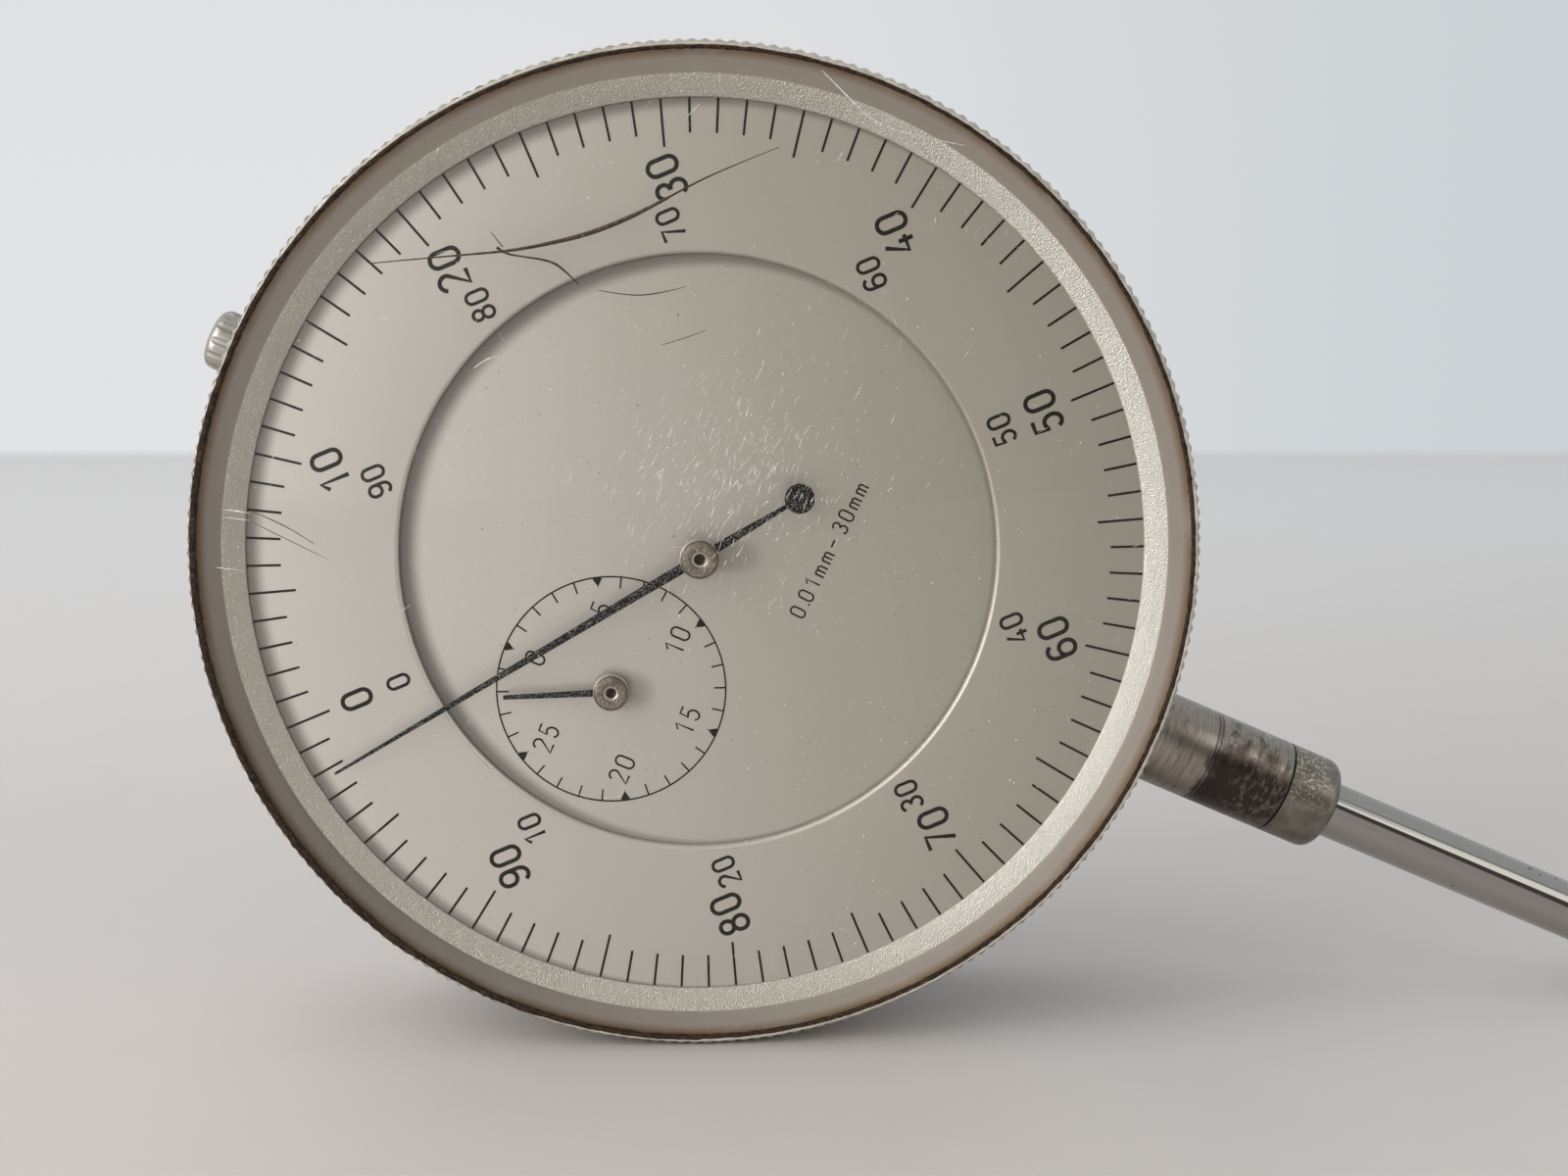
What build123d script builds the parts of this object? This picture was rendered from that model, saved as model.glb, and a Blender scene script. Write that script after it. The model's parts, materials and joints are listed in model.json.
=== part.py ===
from build123d import *
from math import acos, atan2, cos, degrees, hypot, pi, radians, sin, sqrt, tan
import os

# Dial indicator with a large face: 0.01 mm graduations, one pointer turn per millimetre, 30 mm range.
# Millimetres. The spindle runs along Z with the contact point at the bottom, and the dial faces -Y.
# The origin is on the spindle's axis, in the middle of the length of stem that a holder grips.

os.makedirs("parts", exist_ok=True)

# ---- Spindle line ----------------------------------------------------------------------------------------
stem_dia = 8.0
stem_seat_dia = 7.4  # the part of the stem pressed into the case's boss
stem_grip_length = 13.5  # plain stem between the case boss and the end bush
spindle_dia = 4.8
spindle_top_dia = 3.5  # upper end, through the upper bush
travel = 32.2  # full slide: a 2.15 start, the 30 range and a little over
rest_reading = -2.15  # what the hands show with the spindle right out
running_gap = 0.02  # radial, sliding and turning fits
press_gap = 0.01  # radial, pieces fixed in one another
end_bush_length = 4.8  # the part of the end bush that shows below the stem
end_bush_sleeve = 8.0  # the part inside the stem
end_bush_wall = 0.78
end_bush_round = 1.1
end_bush_chamfer = 0.12
stem_bore_gap = 0.3  # air round the spindle inside the stem
spindle_left_out = 0.8  # spindle still showing when it is pushed right in
contact_length = 4.8
contact_shank_dia = 2.5
contact_shank_length = 5.0
contact_hole_spare = 0.5  # hole in the spindle deeper than the shank
contact_waist = 0.35  # waist in from the spindle's radius
contact_collar = 0.9
contact_collar_bevel = 0.3
contact_cone_share = 0.55  # of the contact's length
contact_ball_hold = 0.12  # ball past the cone's end
contact_socket = 0.01  # radial, ball in its seat
ball_dia = 3.0
knob_dia = 5.0
knob_height = 3.15
knob_flutes = 12
knob_flute_depth = 0.22
knob_flute_radius = 0.35
knob_round = 0.9
knob_chamfer = 0.25
knob_stud_dia = 2.4
knob_stud_length = 1.8
knob_stud_air = 0.1
spindle_chamfer = 0.25
stop_gap = 0.05  # knob to upper bush at rest
over_travel = 0.4  # spindle shoulder to upper bush, pushed right in
cut_past = 1.0  # how far holes are cut beyond the faces they go through

# ---- Rack and guide --------------------------------------------------------------------------------------
rack_pitch = 0.625  # 16 teeth to 10 mm of slide
rack_flat_depth = 0.35
rack_spare = 1.6  # rack beyond the working length at each end
rack_cut_past = 0.01
guide_pin_dia = 1.6
guide_pin_reach = 11.2
guide_pin_below_shoulder = 2.2
guide_pin_end_air = 0.05
hook_groove_width = 0.8  # grooves that keep the spring's hooks in place
hook_groove_depth = 0.3
rail_x = 4.6
rail_thickness = 2.0
rail_depth = 5.2
rail_slot_gap = 0.05
rail_end_wall = 1.4
rail_foot = 5.0  # height of each foot
rail_foot_width = 4.0
rail_foot_air = 0.7  # lower foot to the centre bridge
rail_screw_inset = 1.4

# ---- Dial, bezel and crystal -----------------------------------------------------------------------------
bezel_dia = 80.0
bezel_lip = 0.7  # wall beside the crystal
bezel_lip_rise = 1.9  # lip in front of the scale
bezel_depth = 6.5
bezel_wall = 2.35
bezel_ledge = 0.45  # ledge that carries the scale ring
bezel_ledge_width = 1.05
bezel_chamfer = 0.28
bezel_gap = 0.05  # radial, bezel on the case neck
knurl_teeth = 240
knurl_depth = 0.18
scale_sheet = 0.6
scale_inner_radius = 23.8
scale_chamfer = 0.12
flange_inner_width = 1.8  # from the inner edge out to the ridge
flange_inner_rise = 0.25
flange_outer_width = 1.79  # from the ridge out to the crystal's edge
flange_ridge_rise = 0.9
flange_outer_rise = 1.4
crystal_wall = 1.3
crystal_rise = 4.8  # crown of the dome in front of the flange's outer edge
crystal_shoulder = 2.2  # radial width of the rounded edge
crystal_shoulder_rise = 2.7
crystal_edge = 0.5  # straight part of the edge
crystal_inner_step = 0.715  # inner shoulder in from the outer one
wire_dia = 0.7  # spring wire that keeps the bezel on the case
wire_groove = 0.9
wire_groove_depth = 0.5  # into the case's neck and into the bezel
wire_gap_angle = 14.0

# ---- Centre dial and hands -------------------------------------------------------------------------------
disc_gap = 0.1
disc_sheet = 0.5
disc_overlap = 1.4  # centre dial reaching under the scale ring
foot_dia = 1.2
foot_inset = 3.0
dial_hole_air = 0.3
counter_left = 12.85
counter_up = 2.2
pointer_tip_air = 1.9  # tip to the flange ring
pointer_tail = 9.2
pointer_root_width = 0.75
pointer_tip_width = 0.22
pointer_tail_width = 0.37
pointer_boss_dia = 2.2
pointer_sheet = 0.2
pointer_rise = 1.15  # underside of the hand in front of the scale
tail_disc_dia = 2.4
hub_dia = 3.0
hub_chamfer = 0.12
staff_inset = 0.35  # each hand's staff behind the front of its hub
hub_front = 2.3  # front of the hub in front of the scale
small_length = 8.45
small_tail = 2.3
small_root_width = 0.6
small_sheet = 0.15
small_hub_dia = 2.9
small_hub_height = 0.9
small_hub_above_disc = 0.7
small_hand_step = 0.3  # hand in front of its hub's back
counter_turn_mm = 30.0

# ---- Case and back ---------------------------------------------------------------------------------------
neck_wall = 1.4
case_step = 1.0  # case wall outside the neck
case_to_bezel = 0.2
floor_sheet = 1.5
rear_gap = 0.6  # rear bridge behind the spindle
rear_bridge_sheet = 1.2
cover_room = 2.0
cover_spigot = 0.8
cover_sheet = 2.0
cover_gap = 0.05
cover_edge = 0.6
boss_rise = 1.9  # stem boss beyond the case wall
boss_wall = 1.5
top_boss_rise = 1.2
top_bush_dia = 6.0
top_boss_wall = 1.2
top_bush_rise = 0.2  # beyond its boss
top_flange = 1.4
top_flange_sheet = 1.0
pad_depth = 1.4  # flat seats inside the case
pad_margin = 2.5
pad_cover_air = 0.6  # seats end this far short of the cover's spigot
screw_boss_dia = 4.8
screw_boss_inset = 1.6
cover_screw_dia = 2.0
cover_screw_head = 3.8
cover_screw_length = 6.0
cover_screw_hole_spare = 1.0
cover_screw_gap = 0.1
cover_slot_width = 0.5
cover_slot_depth = 0.6
cover_screw_angles = (45, 135, 225, 315)
lug_thickness = 5.0
lug_hole_dia = 6.5
lug_wall = 3.2
lug_reach = 8.6  # hole centre behind the cover
lug_root_width = 17.0
lug_root_depth = 0.5  # into the cover

# ---- Movement --------------------------------------------------------------------------------------------
pressure = radians(20)
backlash = 0.03
mesh_ease = 0.02  # added to each centre distance
wheel_teeth = 120
pinion_teeth = 12
train_module = 0.125
wheel_addendum = 0.6  # shares of the module
rack_addendum_share = 0.9
full_addendum = 1.0
full_dedendum = 1.25
rack_pinion_teeth = 16
counter_pinion_teeth = 24
counter_wheel_teeth = 72
wheel_width = 0.5
wheel_hole_count = 5
wheel_hole_place = 0.58  # shares of the wheel's radius
wheel_hole_size = 0.22
pinion_overhang = 0.15  # pinion wider than its wheel on each side
rack_pinion_width = 3.0
first_layer_gap = 0.5  # floor to the train wheels
second_layer_gap = 0.5  # train wheels to the counter wheel
third_layer_gap = 0.6  # counter wheel to the centre bridge
bridge_sheet = 1.0
bridge_gap = 0.5  # centre bridge in front of the spindle
bridge_margin = 3.0
pivot_gap = 0.02
pivot_inset = 0.15  # pivot short of its jewel's far face
front_pivot_length = 0.9
end_shake = 0.1
jewel_dia = 2.2
centre_staff_dia = 1.2
centre_core_dia = 1.0  # behind the floor, through the pinion
counter_staff_dia = 1.0
counter_core_dia = 1.6
takeup_staff_dia = 1.4
pivot_dia = 0.7
first_staff_dia = 1.6
first_pivot_dia = 0.8
staff_hole_air = 0.5
pillar_dia = 3.2
pillar_spigot_dia = 1.8
pillar_air = 0.9
side_pillar_drop = 3.0
middle_pillar_left = 6.0  # from the first arbor
middle_pillar_up = 6.4
rear_pillar_left = 7.0
rear_pillar_air = 1.2  # to the spindle
bridge_screw_dia = 1.0
bridge_screw_head = 2.0
bridge_screw_head_height = 0.55
bridge_screw_low_head = 0.35  # under the spindle
screw_grip = 2.2
screw_grip_air = 0.2
screw_recess_gap = 0.1
screw_recess_depth = 0.6
slot_width = 0.3
hairspring_turns = 4.0
hairspring_inner = 1.7
hairspring_outer = 4.4
hairspring_blade = 0.12
hairspring_height = 0.4
collet_dia = 2.8
collet_air = 0.2
stud_dia = 1.0
spring_x = 10.0
spring_coil_dia = 3.2
spring_wire = 0.4
spring_turns = 17
spring_post_dia = 1.8
spring_post_inset = 5.2
spring_post_rear = 1.6

# ---- Depths along Y, stacked out from the spindle --------------------------------------------------------
spindle_radius = spindle_dia / 2
bridge_back = -(spindle_radius + bridge_gap)
bridge_front = bridge_back - bridge_sheet
counter_wheel_back = bridge_front - third_layer_gap
counter_wheel_front = counter_wheel_back - wheel_width
train_back = counter_wheel_front - second_layer_gap
train_front = train_back - wheel_width
floor_back = train_front - first_layer_gap
floor_front = floor_back - floor_sheet
disc_front = floor_front - disc_sheet
scale_back = disc_front - disc_gap
scale_front = scale_back - scale_sheet
bezel_front = scale_front - bezel_lip_rise
bezel_back = bezel_front + bezel_depth
shoulder_y = bezel_back + case_to_bezel
rear_bridge_front = spindle_radius + rear_gap
rear_bridge_back = rear_bridge_front + rear_bridge_sheet
spigot_front = rear_bridge_back + cover_room
case_back = spigot_front + cover_spigot
cover_back = case_back + cover_sheet

# ---- Radii about the dial's axis -------------------------------------------------------------------------
bezel_radius = bezel_dia / 2
crystal_seat_radius = bezel_radius - bezel_lip
crystal_radius = crystal_seat_radius - press_gap
bezel_bore = bezel_radius - bezel_wall
neck_radius = bezel_bore - bezel_gap
case_bore = neck_radius - neck_wall
case_radius = neck_radius + case_step
boss_end = case_radius + boss_rise
top_boss_end = case_radius + top_boss_rise
pad_face = case_bore - pad_depth
flange_ridge_radius = crystal_radius - flange_outer_width
flange_inner_radius = flange_ridge_radius - flange_inner_width
pointer_length = flange_inner_radius - pointer_tip_air
disc_radius = scale_inner_radius + disc_overlap

# ---- Heights: the dial's axis above the origin, and the spindle at rest relative to the dial's axis ------
dial_z = boss_end + stem_grip_length / 2
stem_end = -boss_end - stem_grip_length
bush_end = stem_end - end_bush_length
spindle_end = bush_end - spindle_left_out - travel
ball_height = spindle_end - contact_length
top_flange_face = pad_face - top_flange_sheet
spindle_shoulder = top_flange_face - over_travel - travel
guide_pin_z = spindle_shoulder - guide_pin_below_shoulder
top_bush_end = top_boss_end + top_bush_rise
knob_base = top_bush_end + stop_gap

# ---- Gear centres, right and up from the dial's axis -----------------------------------------------------
rack_module = rack_pitch / pi
rack_addendum = rack_addendum_share * rack_module
rack_line = spindle_radius - rack_flat_depth - rack_addendum
rack_pinion_radius = rack_pinion_teeth * rack_module / 2
first_x = -(rack_line + rack_pinion_radius + mesh_ease)
train_distance = (wheel_teeth + pinion_teeth) / 2 * train_module + mesh_ease
first_z = -sqrt(train_distance**2 - first_x**2)
takeup_x = -first_x
takeup_z = -first_z
counter_x = -counter_left
counter_z = counter_up
counter_distance = hypot(counter_x - first_x, counter_z - first_z)
counter_module = 2 * (counter_distance - mesh_ease) / (counter_pinion_teeth + counter_wheel_teeth)

# ---- Angles at rest, clockwise seen from the front -------------------------------------------------------
pointer_angle = 360 * rest_reading
counter_angle = 360 * rest_reading / counter_turn_mm

# ---- Pillars and screws, right and up from the dial's axis -----------------------------------------------
train_wheel_radius = (wheel_teeth / 2 + 1) * train_module
counter_wheel_radius = (counter_wheel_teeth / 2 + 1) * counter_module
pillar_radius = pillar_dia / 2
above_counter = radians(73)
below_first = radians(28)
counter_clear = counter_wheel_radius + pillar_radius + pillar_air
wheel_clear = train_wheel_radius + pillar_radius + pillar_air
bridge_pillars = [
    (counter_x + counter_clear * cos(above_counter), counter_z + counter_clear * sin(above_counter)),
    (rail_x + rail_foot_width + pillar_radius + pillar_air, -side_pillar_drop),
    (first_x - wheel_clear * cos(below_first), first_z - wheel_clear * sin(below_first)),
]
rear_low_z = first_z - wheel_clear - pillar_radius
middle_pillar = (first_x - middle_pillar_left, first_z + middle_pillar_up)
rear_pillars = [
    (-rear_pillar_left, rear_low_z),
    (spindle_radius + pillar_radius + rear_pillar_air, rear_low_z),
]
cover_screw_reach = case_bore - screw_boss_inset

rail_slot_low = guide_pin_z - guide_pin_dia / 2 - rail_slot_gap
rail_slot_high = guide_pin_z + travel + guide_pin_dia / 2 + rail_slot_gap
rail_top = rail_slot_high + rail_end_wall
# the lower foot stays clear of the centre bridge's lower edge, from its left pillar to its side one
side_pillar, left_pillar = bridge_pillars[1:]
edge_run = side_pillar[0] - left_pillar[0]
edge_fall = side_pillar[1] - left_pillar[1]
edge_z = side_pillar[1] - edge_fall * (side_pillar[0] - rail_x) / edge_run
rail_bottom = edge_z - bridge_margin * hypot(edge_run, edge_fall) / edge_run - rail_foot_air - rail_foot
spring_post_z = -(case_bore - spring_post_inset)

standing = (Align.CENTER, Align.CENTER, Align.MIN)


# A plane that looks out of the dial, at depth y, x right and z up from the dial's axis.
def facing(y, x=0.0, z=0.0):
    return Plane(origin=(x, y, dial_z + z), x_dir=(1, 0, 0), z_dir=(0, -1, 0))


# The line that a turned piece is turned about, along Y.
def arbor_axis(x=0.0, z=0.0):
    return Axis((x, 0, dial_z + z), (0, 1, 0))


# A wheel's outline. Each flank is an involute drawn through a few points, thinned for backlash.
def gear_face(teeth, module, turn, addendum=full_addendum):
    pitch_radius = teeth * module / 2
    base_radius = pitch_radius * cos(pressure)
    tip_radius = pitch_radius + addendum * module
    root_radius = pitch_radius - full_dedendum * module
    half_pitch_angle = pi / (2 * teeth) - backlash / (2 * pitch_radius)

    def half_angle(radius):
        roll = acos(min(1.0, base_radius / radius))
        return half_pitch_angle + (tan(pressure) - pressure) - (tan(roll) - roll)

    radii = [root_radius, pitch_radius, tip_radius]
    if root_radius < base_radius:
        radii.insert(1, base_radius)
    points = []
    for tooth in range(teeth):
        middle = turn + 2 * pi * tooth / teeth
        for radius in radii:
            angle = middle - half_angle(max(radius, base_radius))
            points.append((radius * cos(angle), radius * sin(angle)))
        for radius in reversed(radii):
            angle = middle + half_angle(max(radius, base_radius))
            points.append((radius * cos(angle), radius * sin(angle)))
    with BuildSketch() as outline:
        with BuildLine():
            Polyline(*points, close=True)
        make_face()
    return outline.sketch


# A half outline about the local Y axis, through (radius, height) points.
def turned_face(*points):
    with BuildSketch() as outline:
        with BuildLine():
            Polyline(*points, close=True)
        make_face()
    return outline.sketch


# A tapered hand that points up from its pivot, with a tail below it.
def hand_face(length, root_width, tip_width, tail_length, tail_width, disc_dia=0.0):
    with BuildSketch() as outline:
        with BuildLine():
            Polyline(
                (-root_width / 2, 0),
                (-tip_width / 2, length),
                (tip_width / 2, length),
                (root_width / 2, 0),
                (tail_width / 2, -tail_length),
                (-tail_width / 2, -tail_length),
                close=True,
            )
        make_face()
        if disc_dia:
            with Locations((0, -tail_length)):
                Circle(disc_dia / 2)
    return outline.sketch


# A slotted cheese-head screw: its head stands on the local plane and its shank runs back from it.
def cheese_head_screw(plane, shank_dia, shank_length, head_dia, head_height):
    with BuildPart(plane) as screw:
        Cylinder(head_dia / 2, head_height, align=standing)
        with Locations((0, 0, -shank_length)):
            Cylinder(shank_dia / 2, shank_length, align=standing)
        with Locations((0, 0, head_height)):
            Box(head_dia, slot_width, head_height, mode=Mode.SUBTRACT)
    return screw.part


# A plane that looks out of the back.
def looking_back(y, x, z):
    return Plane(origin=(x, y, dial_z + z), x_dir=(1, 0, 0), z_dir=(0, 1, 0))


# ---- Case ------------------------------------------------------------------------------------------------
arbor_places = [(0.0, 0.0), (counter_x, counter_z), (first_x, first_z), (takeup_x, takeup_z)]
disc_feet = [(0.0, disc_radius - foot_inset), (0.0, foot_inset - disc_radius)]
rail_feet = [
    (rail_x + rail_foot_width - rail_screw_inset, rail_bottom + rail_foot / 2),
    (rail_x + rail_foot_width - rail_screw_inset, rail_top - rail_foot / 2),
]
floor_pins = bridge_pillars + rear_pillars + [(spring_x, spring_post_z)]
pad_half = stem_seat_dia / 2 + pad_margin
top_pad_half = top_bush_dia / 2 + pad_margin
boss_cut = 4 * stem_dia

with BuildPart() as case_body:
    with BuildSketch(Plane.XY.offset(dial_z)):
        add(
            turned_face(
                (0, floor_front),
                (neck_radius, floor_front),
                (neck_radius, shoulder_y),
                (case_radius, shoulder_y),
                (case_radius, case_back),
                (case_bore, case_back),
                (case_bore, floor_back),
                (0, floor_back),
            )
        )
    revolve(axis=arbor_axis())
    # groove for the bezel's spring wire
    with BuildSketch(Plane.XY.offset(dial_z)):
        with Locations((neck_radius, bezel_back - wire_groove)):
            Rectangle(2 * wire_groove_depth, wire_groove)
    revolve(axis=arbor_axis(), mode=Mode.SUBTRACT)
    # flat seats inside the wall for the stem and the upper bush
    with BuildSketch(facing(floor_back)):
        with Locations((0, -(pad_face + neck_radius) / 2)):
            Rectangle(2 * pad_half, neck_radius - pad_face)
        with Locations((0, (pad_face + neck_radius) / 2)):
            Rectangle(2 * top_pad_half, neck_radius - pad_face)
        Circle(case_bore + neck_wall / 2, mode=Mode.INTERSECT)
    extrude(amount=-(spigot_front - pad_cover_air - floor_back))
    # bosses outside the wall, cut flat where the bezel turns in front of them
    with BuildSketch(Plane.XY.offset(dial_z - boss_end)):
        Circle(stem_dia / 2 + boss_wall)
        with Locations((0, shoulder_y)):
            Rectangle(boss_cut, boss_cut, align=(Align.CENTER, Align.MAX), mode=Mode.SUBTRACT)
    extrude(amount=boss_end - neck_radius)
    with BuildSketch(Plane.XY.offset(dial_z + neck_radius)):
        Circle(top_bush_dia / 2 + top_boss_wall)
        with Locations((0, shoulder_y)):
            Rectangle(boss_cut, boss_cut, align=(Align.CENTER, Align.MAX), mode=Mode.SUBTRACT)
    extrude(amount=top_boss_end - neck_radius)
    # bosses for the cover screws
    with BuildSketch(facing(floor_back)):
        for angle in cover_screw_angles:
            with Locations(
                (cover_screw_reach * cos(radians(angle)), cover_screw_reach * sin(radians(angle)))
            ):
                Circle(screw_boss_dia / 2)
    extrude(amount=-(spigot_front - floor_back))
    with BuildSketch(facing(spigot_front)):
        for angle in cover_screw_angles:
            with Locations(
                (cover_screw_reach * cos(radians(angle)), cover_screw_reach * sin(radians(angle)))
            ):
                Circle(cover_screw_dia / 2 + press_gap)
    extrude(
        amount=cover_screw_length - cover_sheet - cover_spigot + cover_screw_hole_spare,
        mode=Mode.SUBTRACT,
    )
    # stem and upper bush holes through the seats and bosses
    with BuildSketch(Plane.XY.offset(dial_z - boss_end - cut_past)):
        Circle(stem_seat_dia / 2 + press_gap)
    extrude(amount=boss_end - pad_face + 2 * cut_past, mode=Mode.SUBTRACT)
    with BuildSketch(Plane.XY.offset(dial_z + pad_face - cut_past)):
        Circle(top_bush_dia / 2 + press_gap)
    extrude(amount=top_boss_end - pad_face + 2 * cut_past, mode=Mode.SUBTRACT)
    # jewel holes, dial feet, pillar spigots and rail screws through the floor
    with BuildSketch(facing(floor_back)):
        for x, z in arbor_places:
            with Locations((x, z)):
                Circle(jewel_dia / 2 + press_gap)
        for x, z in disc_feet:
            with Locations((x, z)):
                Circle(foot_dia / 2 + press_gap)
        for x, z in floor_pins:
            with Locations((x, z)):
                Circle(pillar_spigot_dia / 2 + press_gap)
        for x, z in rail_feet:
            with Locations((x, z)):
                Circle(bridge_screw_dia / 2 + press_gap)
    extrude(amount=floor_sheet, mode=Mode.SUBTRACT)
    with BuildSketch(facing(floor_front + screw_recess_depth)):
        for x, z in rail_feet:
            with Locations((x, z)):
                Circle(bridge_screw_head / 2 + screw_recess_gap)
    extrude(amount=screw_recess_depth, mode=Mode.SUBTRACT)
case_body.part.label = "case_body"
export_step(case_body.part, "parts/case_body.step")

# ---- Back cover with its lug -----------------------------------------------------------------------------
lug_radius = lug_hole_dia / 2 + lug_wall
with BuildPart() as back_cover:
    with BuildSketch(Plane.XY.offset(dial_z)):
        add(
            turned_face(
                (0, spigot_front),
                (case_bore - cover_gap, spigot_front),
                (case_bore - cover_gap, case_back),
                (case_radius, case_back),
                (case_radius, cover_back - cover_edge),
                (case_radius - cover_edge, cover_back),
                (0, cover_back),
            )
        )
    revolve(axis=arbor_axis())
    lug_centre = (cover_back + lug_reach, dial_z)
    with BuildSketch(Plane.YZ.offset(-lug_thickness / 2)):
        with BuildLine():
            lug_end = ThreePointArc(
                (lug_centre[0], dial_z - lug_radius),
                (lug_centre[0] + lug_radius, dial_z),
                (lug_centre[0], dial_z + lug_radius),
            )
            Polyline(
                lug_end @ 1,
                (cover_back, dial_z + lug_root_width / 2),
                (cover_back - lug_root_depth, dial_z + lug_root_width / 2),
                (cover_back - lug_root_depth, dial_z - lug_root_width / 2),
                (cover_back, dial_z - lug_root_width / 2),
                lug_end @ 0,
            )
        make_face()
        with Locations(lug_centre):
            Circle(lug_hole_dia / 2, mode=Mode.SUBTRACT)
    extrude(amount=lug_thickness)
    for angle in cover_screw_angles:
        x = cover_screw_reach * cos(radians(angle))
        z = cover_screw_reach * sin(radians(angle))
        with Locations(looking_back(cover_back, x, z)):
            CounterSinkHole(
                cover_screw_dia / 2 + cover_screw_gap,
                cover_screw_head / 2 + cover_screw_gap,
                cover_sheet + cover_spigot,
                90,
            )
back_cover.part.label = "back_cover"
export_step(back_cover.part, "parts/back_cover.step")

with BuildPart() as cover_screws:
    head_cone = (cover_screw_head - cover_screw_dia) / 2
    for angle in cover_screw_angles:
        x = cover_screw_reach * cos(radians(angle))
        z = cover_screw_reach * sin(radians(angle))
        with BuildSketch(Plane.XY.offset(dial_z + z)):
            with Locations((x, 0)):
                add(
                    turned_face(
                        (0, cover_back - cover_screw_length),
                        (cover_screw_dia / 2, cover_back - cover_screw_length),
                        (cover_screw_dia / 2, cover_back - head_cone),
                        (cover_screw_head / 2, cover_back),
                        (0, cover_back),
                    )
                )
        revolve(axis=arbor_axis(x, z))
        with BuildSketch(facing(cover_back, x, z)):
            Rectangle(cover_screw_head, cover_slot_width, rotation=angle)
        extrude(amount=cover_slot_depth, mode=Mode.SUBTRACT)
cover_screws.part.label = "cover_screws"
export_step(cover_screws.part, "parts/cover_screws.step")

# ---- Stem and bushes -------------------------------------------------------------------------------------
stem_bore_radius = spindle_radius + stem_bore_gap
sleeve_radius = spindle_radius + running_gap + end_bush_wall

with BuildPart(Plane.XY.offset(dial_z + stem_end)) as stem:
    Cylinder(stem_dia / 2, stem_grip_length, align=standing)
    with Locations((0, 0, stem_grip_length)):
        Cylinder(stem_seat_dia / 2, boss_end - pad_face, align=standing)
    Cylinder(stem_bore_radius, 2 * case_radius, align=standing, mode=Mode.SUBTRACT)
    Cylinder(sleeve_radius + press_gap, end_bush_sleeve, align=standing, mode=Mode.SUBTRACT)
stem.part.label = "stem"
export_step(stem.part, "parts/stem.step")

with BuildPart(Plane.XY.offset(dial_z + bush_end)) as stem_end_bush:
    Cylinder(stem_dia / 2, end_bush_length, align=standing)
    fillet(stem_end_bush.edges().group_by(Axis.Z)[0], end_bush_round)
    with Locations((0, 0, end_bush_length)):
        Cylinder(sleeve_radius, end_bush_sleeve, align=standing)
    Cylinder(spindle_radius + running_gap, 4 * end_bush_sleeve, align=standing, mode=Mode.SUBTRACT)
    chamfer(stem_end_bush.edges().group_by(Axis.Z)[0], end_bush_chamfer)
stem_end_bush.part.label = "stem_end_bush"
export_step(stem_end_bush.part, "parts/stem_end_bush.step")

with BuildPart(Plane.XY.offset(dial_z + top_flange_face)) as upper_bush:
    Cylinder(top_bush_dia / 2 + top_flange, top_flange_sheet, align=standing)
    Cylinder(top_bush_dia / 2, top_bush_end - top_flange_face, align=standing)
    Cylinder(spindle_top_dia / 2 + running_gap, 2 * case_radius, align=standing, mode=Mode.SUBTRACT)
upper_bush.part.label = "upper_bush"
export_step(upper_bush.part, "parts/upper_bush.step")

# ---- Spindle, with its rack on the left ------------------------------------------------------------------
rack_teeth = int((travel + 2 * rack_spare) / rack_pitch)
rack_root = rack_line - full_dedendum * rack_module
rack_tip = rack_line + rack_addendum
half_space_root = rack_pitch / 4 + backlash / 2 - full_dedendum * rack_module * tan(pressure)
half_space_tip = rack_pitch / 4 + backlash / 2 + rack_addendum * tan(pressure)
rack_spaces = range(-int(rack_spare / rack_pitch), rack_teeth - int(rack_spare / rack_pitch))
rack_top = first_z + (int(rack_spare / rack_pitch) + 0.5) * rack_pitch
rack_length = rack_teeth * rack_pitch

with BuildPart(Plane.XY.offset(dial_z + spindle_end)) as spindle:
    Cylinder(spindle_radius, spindle_shoulder - spindle_end, align=standing)
    chamfer(spindle.edges().group_by(Axis.Z)[-1], spindle_chamfer)
    with Locations((0, 0, spindle_shoulder - spindle_end)):
        Cylinder(spindle_top_dia / 2, knob_base - spindle_shoulder, align=standing)
    with Locations((0, 0, knob_base - spindle_end)):
        Cylinder(knob_stud_dia / 2, knob_stud_length, align=standing)
    Cylinder(
        contact_shank_dia / 2 + press_gap,
        contact_shank_length + contact_hole_spare,
        align=standing,
        mode=Mode.SUBTRACT,
    )
    # flat for the rack
    with BuildSketch(Plane.XZ.offset(-2 * spindle_dia)):
        with Locations((-rack_tip, dial_z + rack_top - rack_length)):
            Rectangle(spindle_dia, rack_length, align=(Align.MAX, Align.MIN))
    extrude(amount=4 * spindle_dia, mode=Mode.SUBTRACT)
    # spaces between the rack's teeth
    with BuildSketch(Plane.XZ.offset(-2 * spindle_dia)):
        for number in rack_spaces:
            middle = dial_z + first_z - number * rack_pitch
            with BuildLine():
                Polyline(
                    (-rack_root, middle - half_space_root),
                    (-rack_tip - rack_cut_past, middle - half_space_tip),
                    (-rack_tip - rack_cut_past, middle + half_space_tip),
                    (-rack_root, middle + half_space_root),
                    close=True,
                )
            make_face()
    extrude(amount=4 * spindle_dia, mode=Mode.SUBTRACT)
    # cross hole for the guide pin
    with BuildSketch(Plane.YZ):
        with Locations((0, dial_z + guide_pin_z)):
            Circle(guide_pin_dia / 2 + press_gap)
    extrude(amount=spindle_dia, mode=Mode.SUBTRACT)
spindle.part.label = "spindle"
export_step(spindle.part, "parts/spindle.step")

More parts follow.
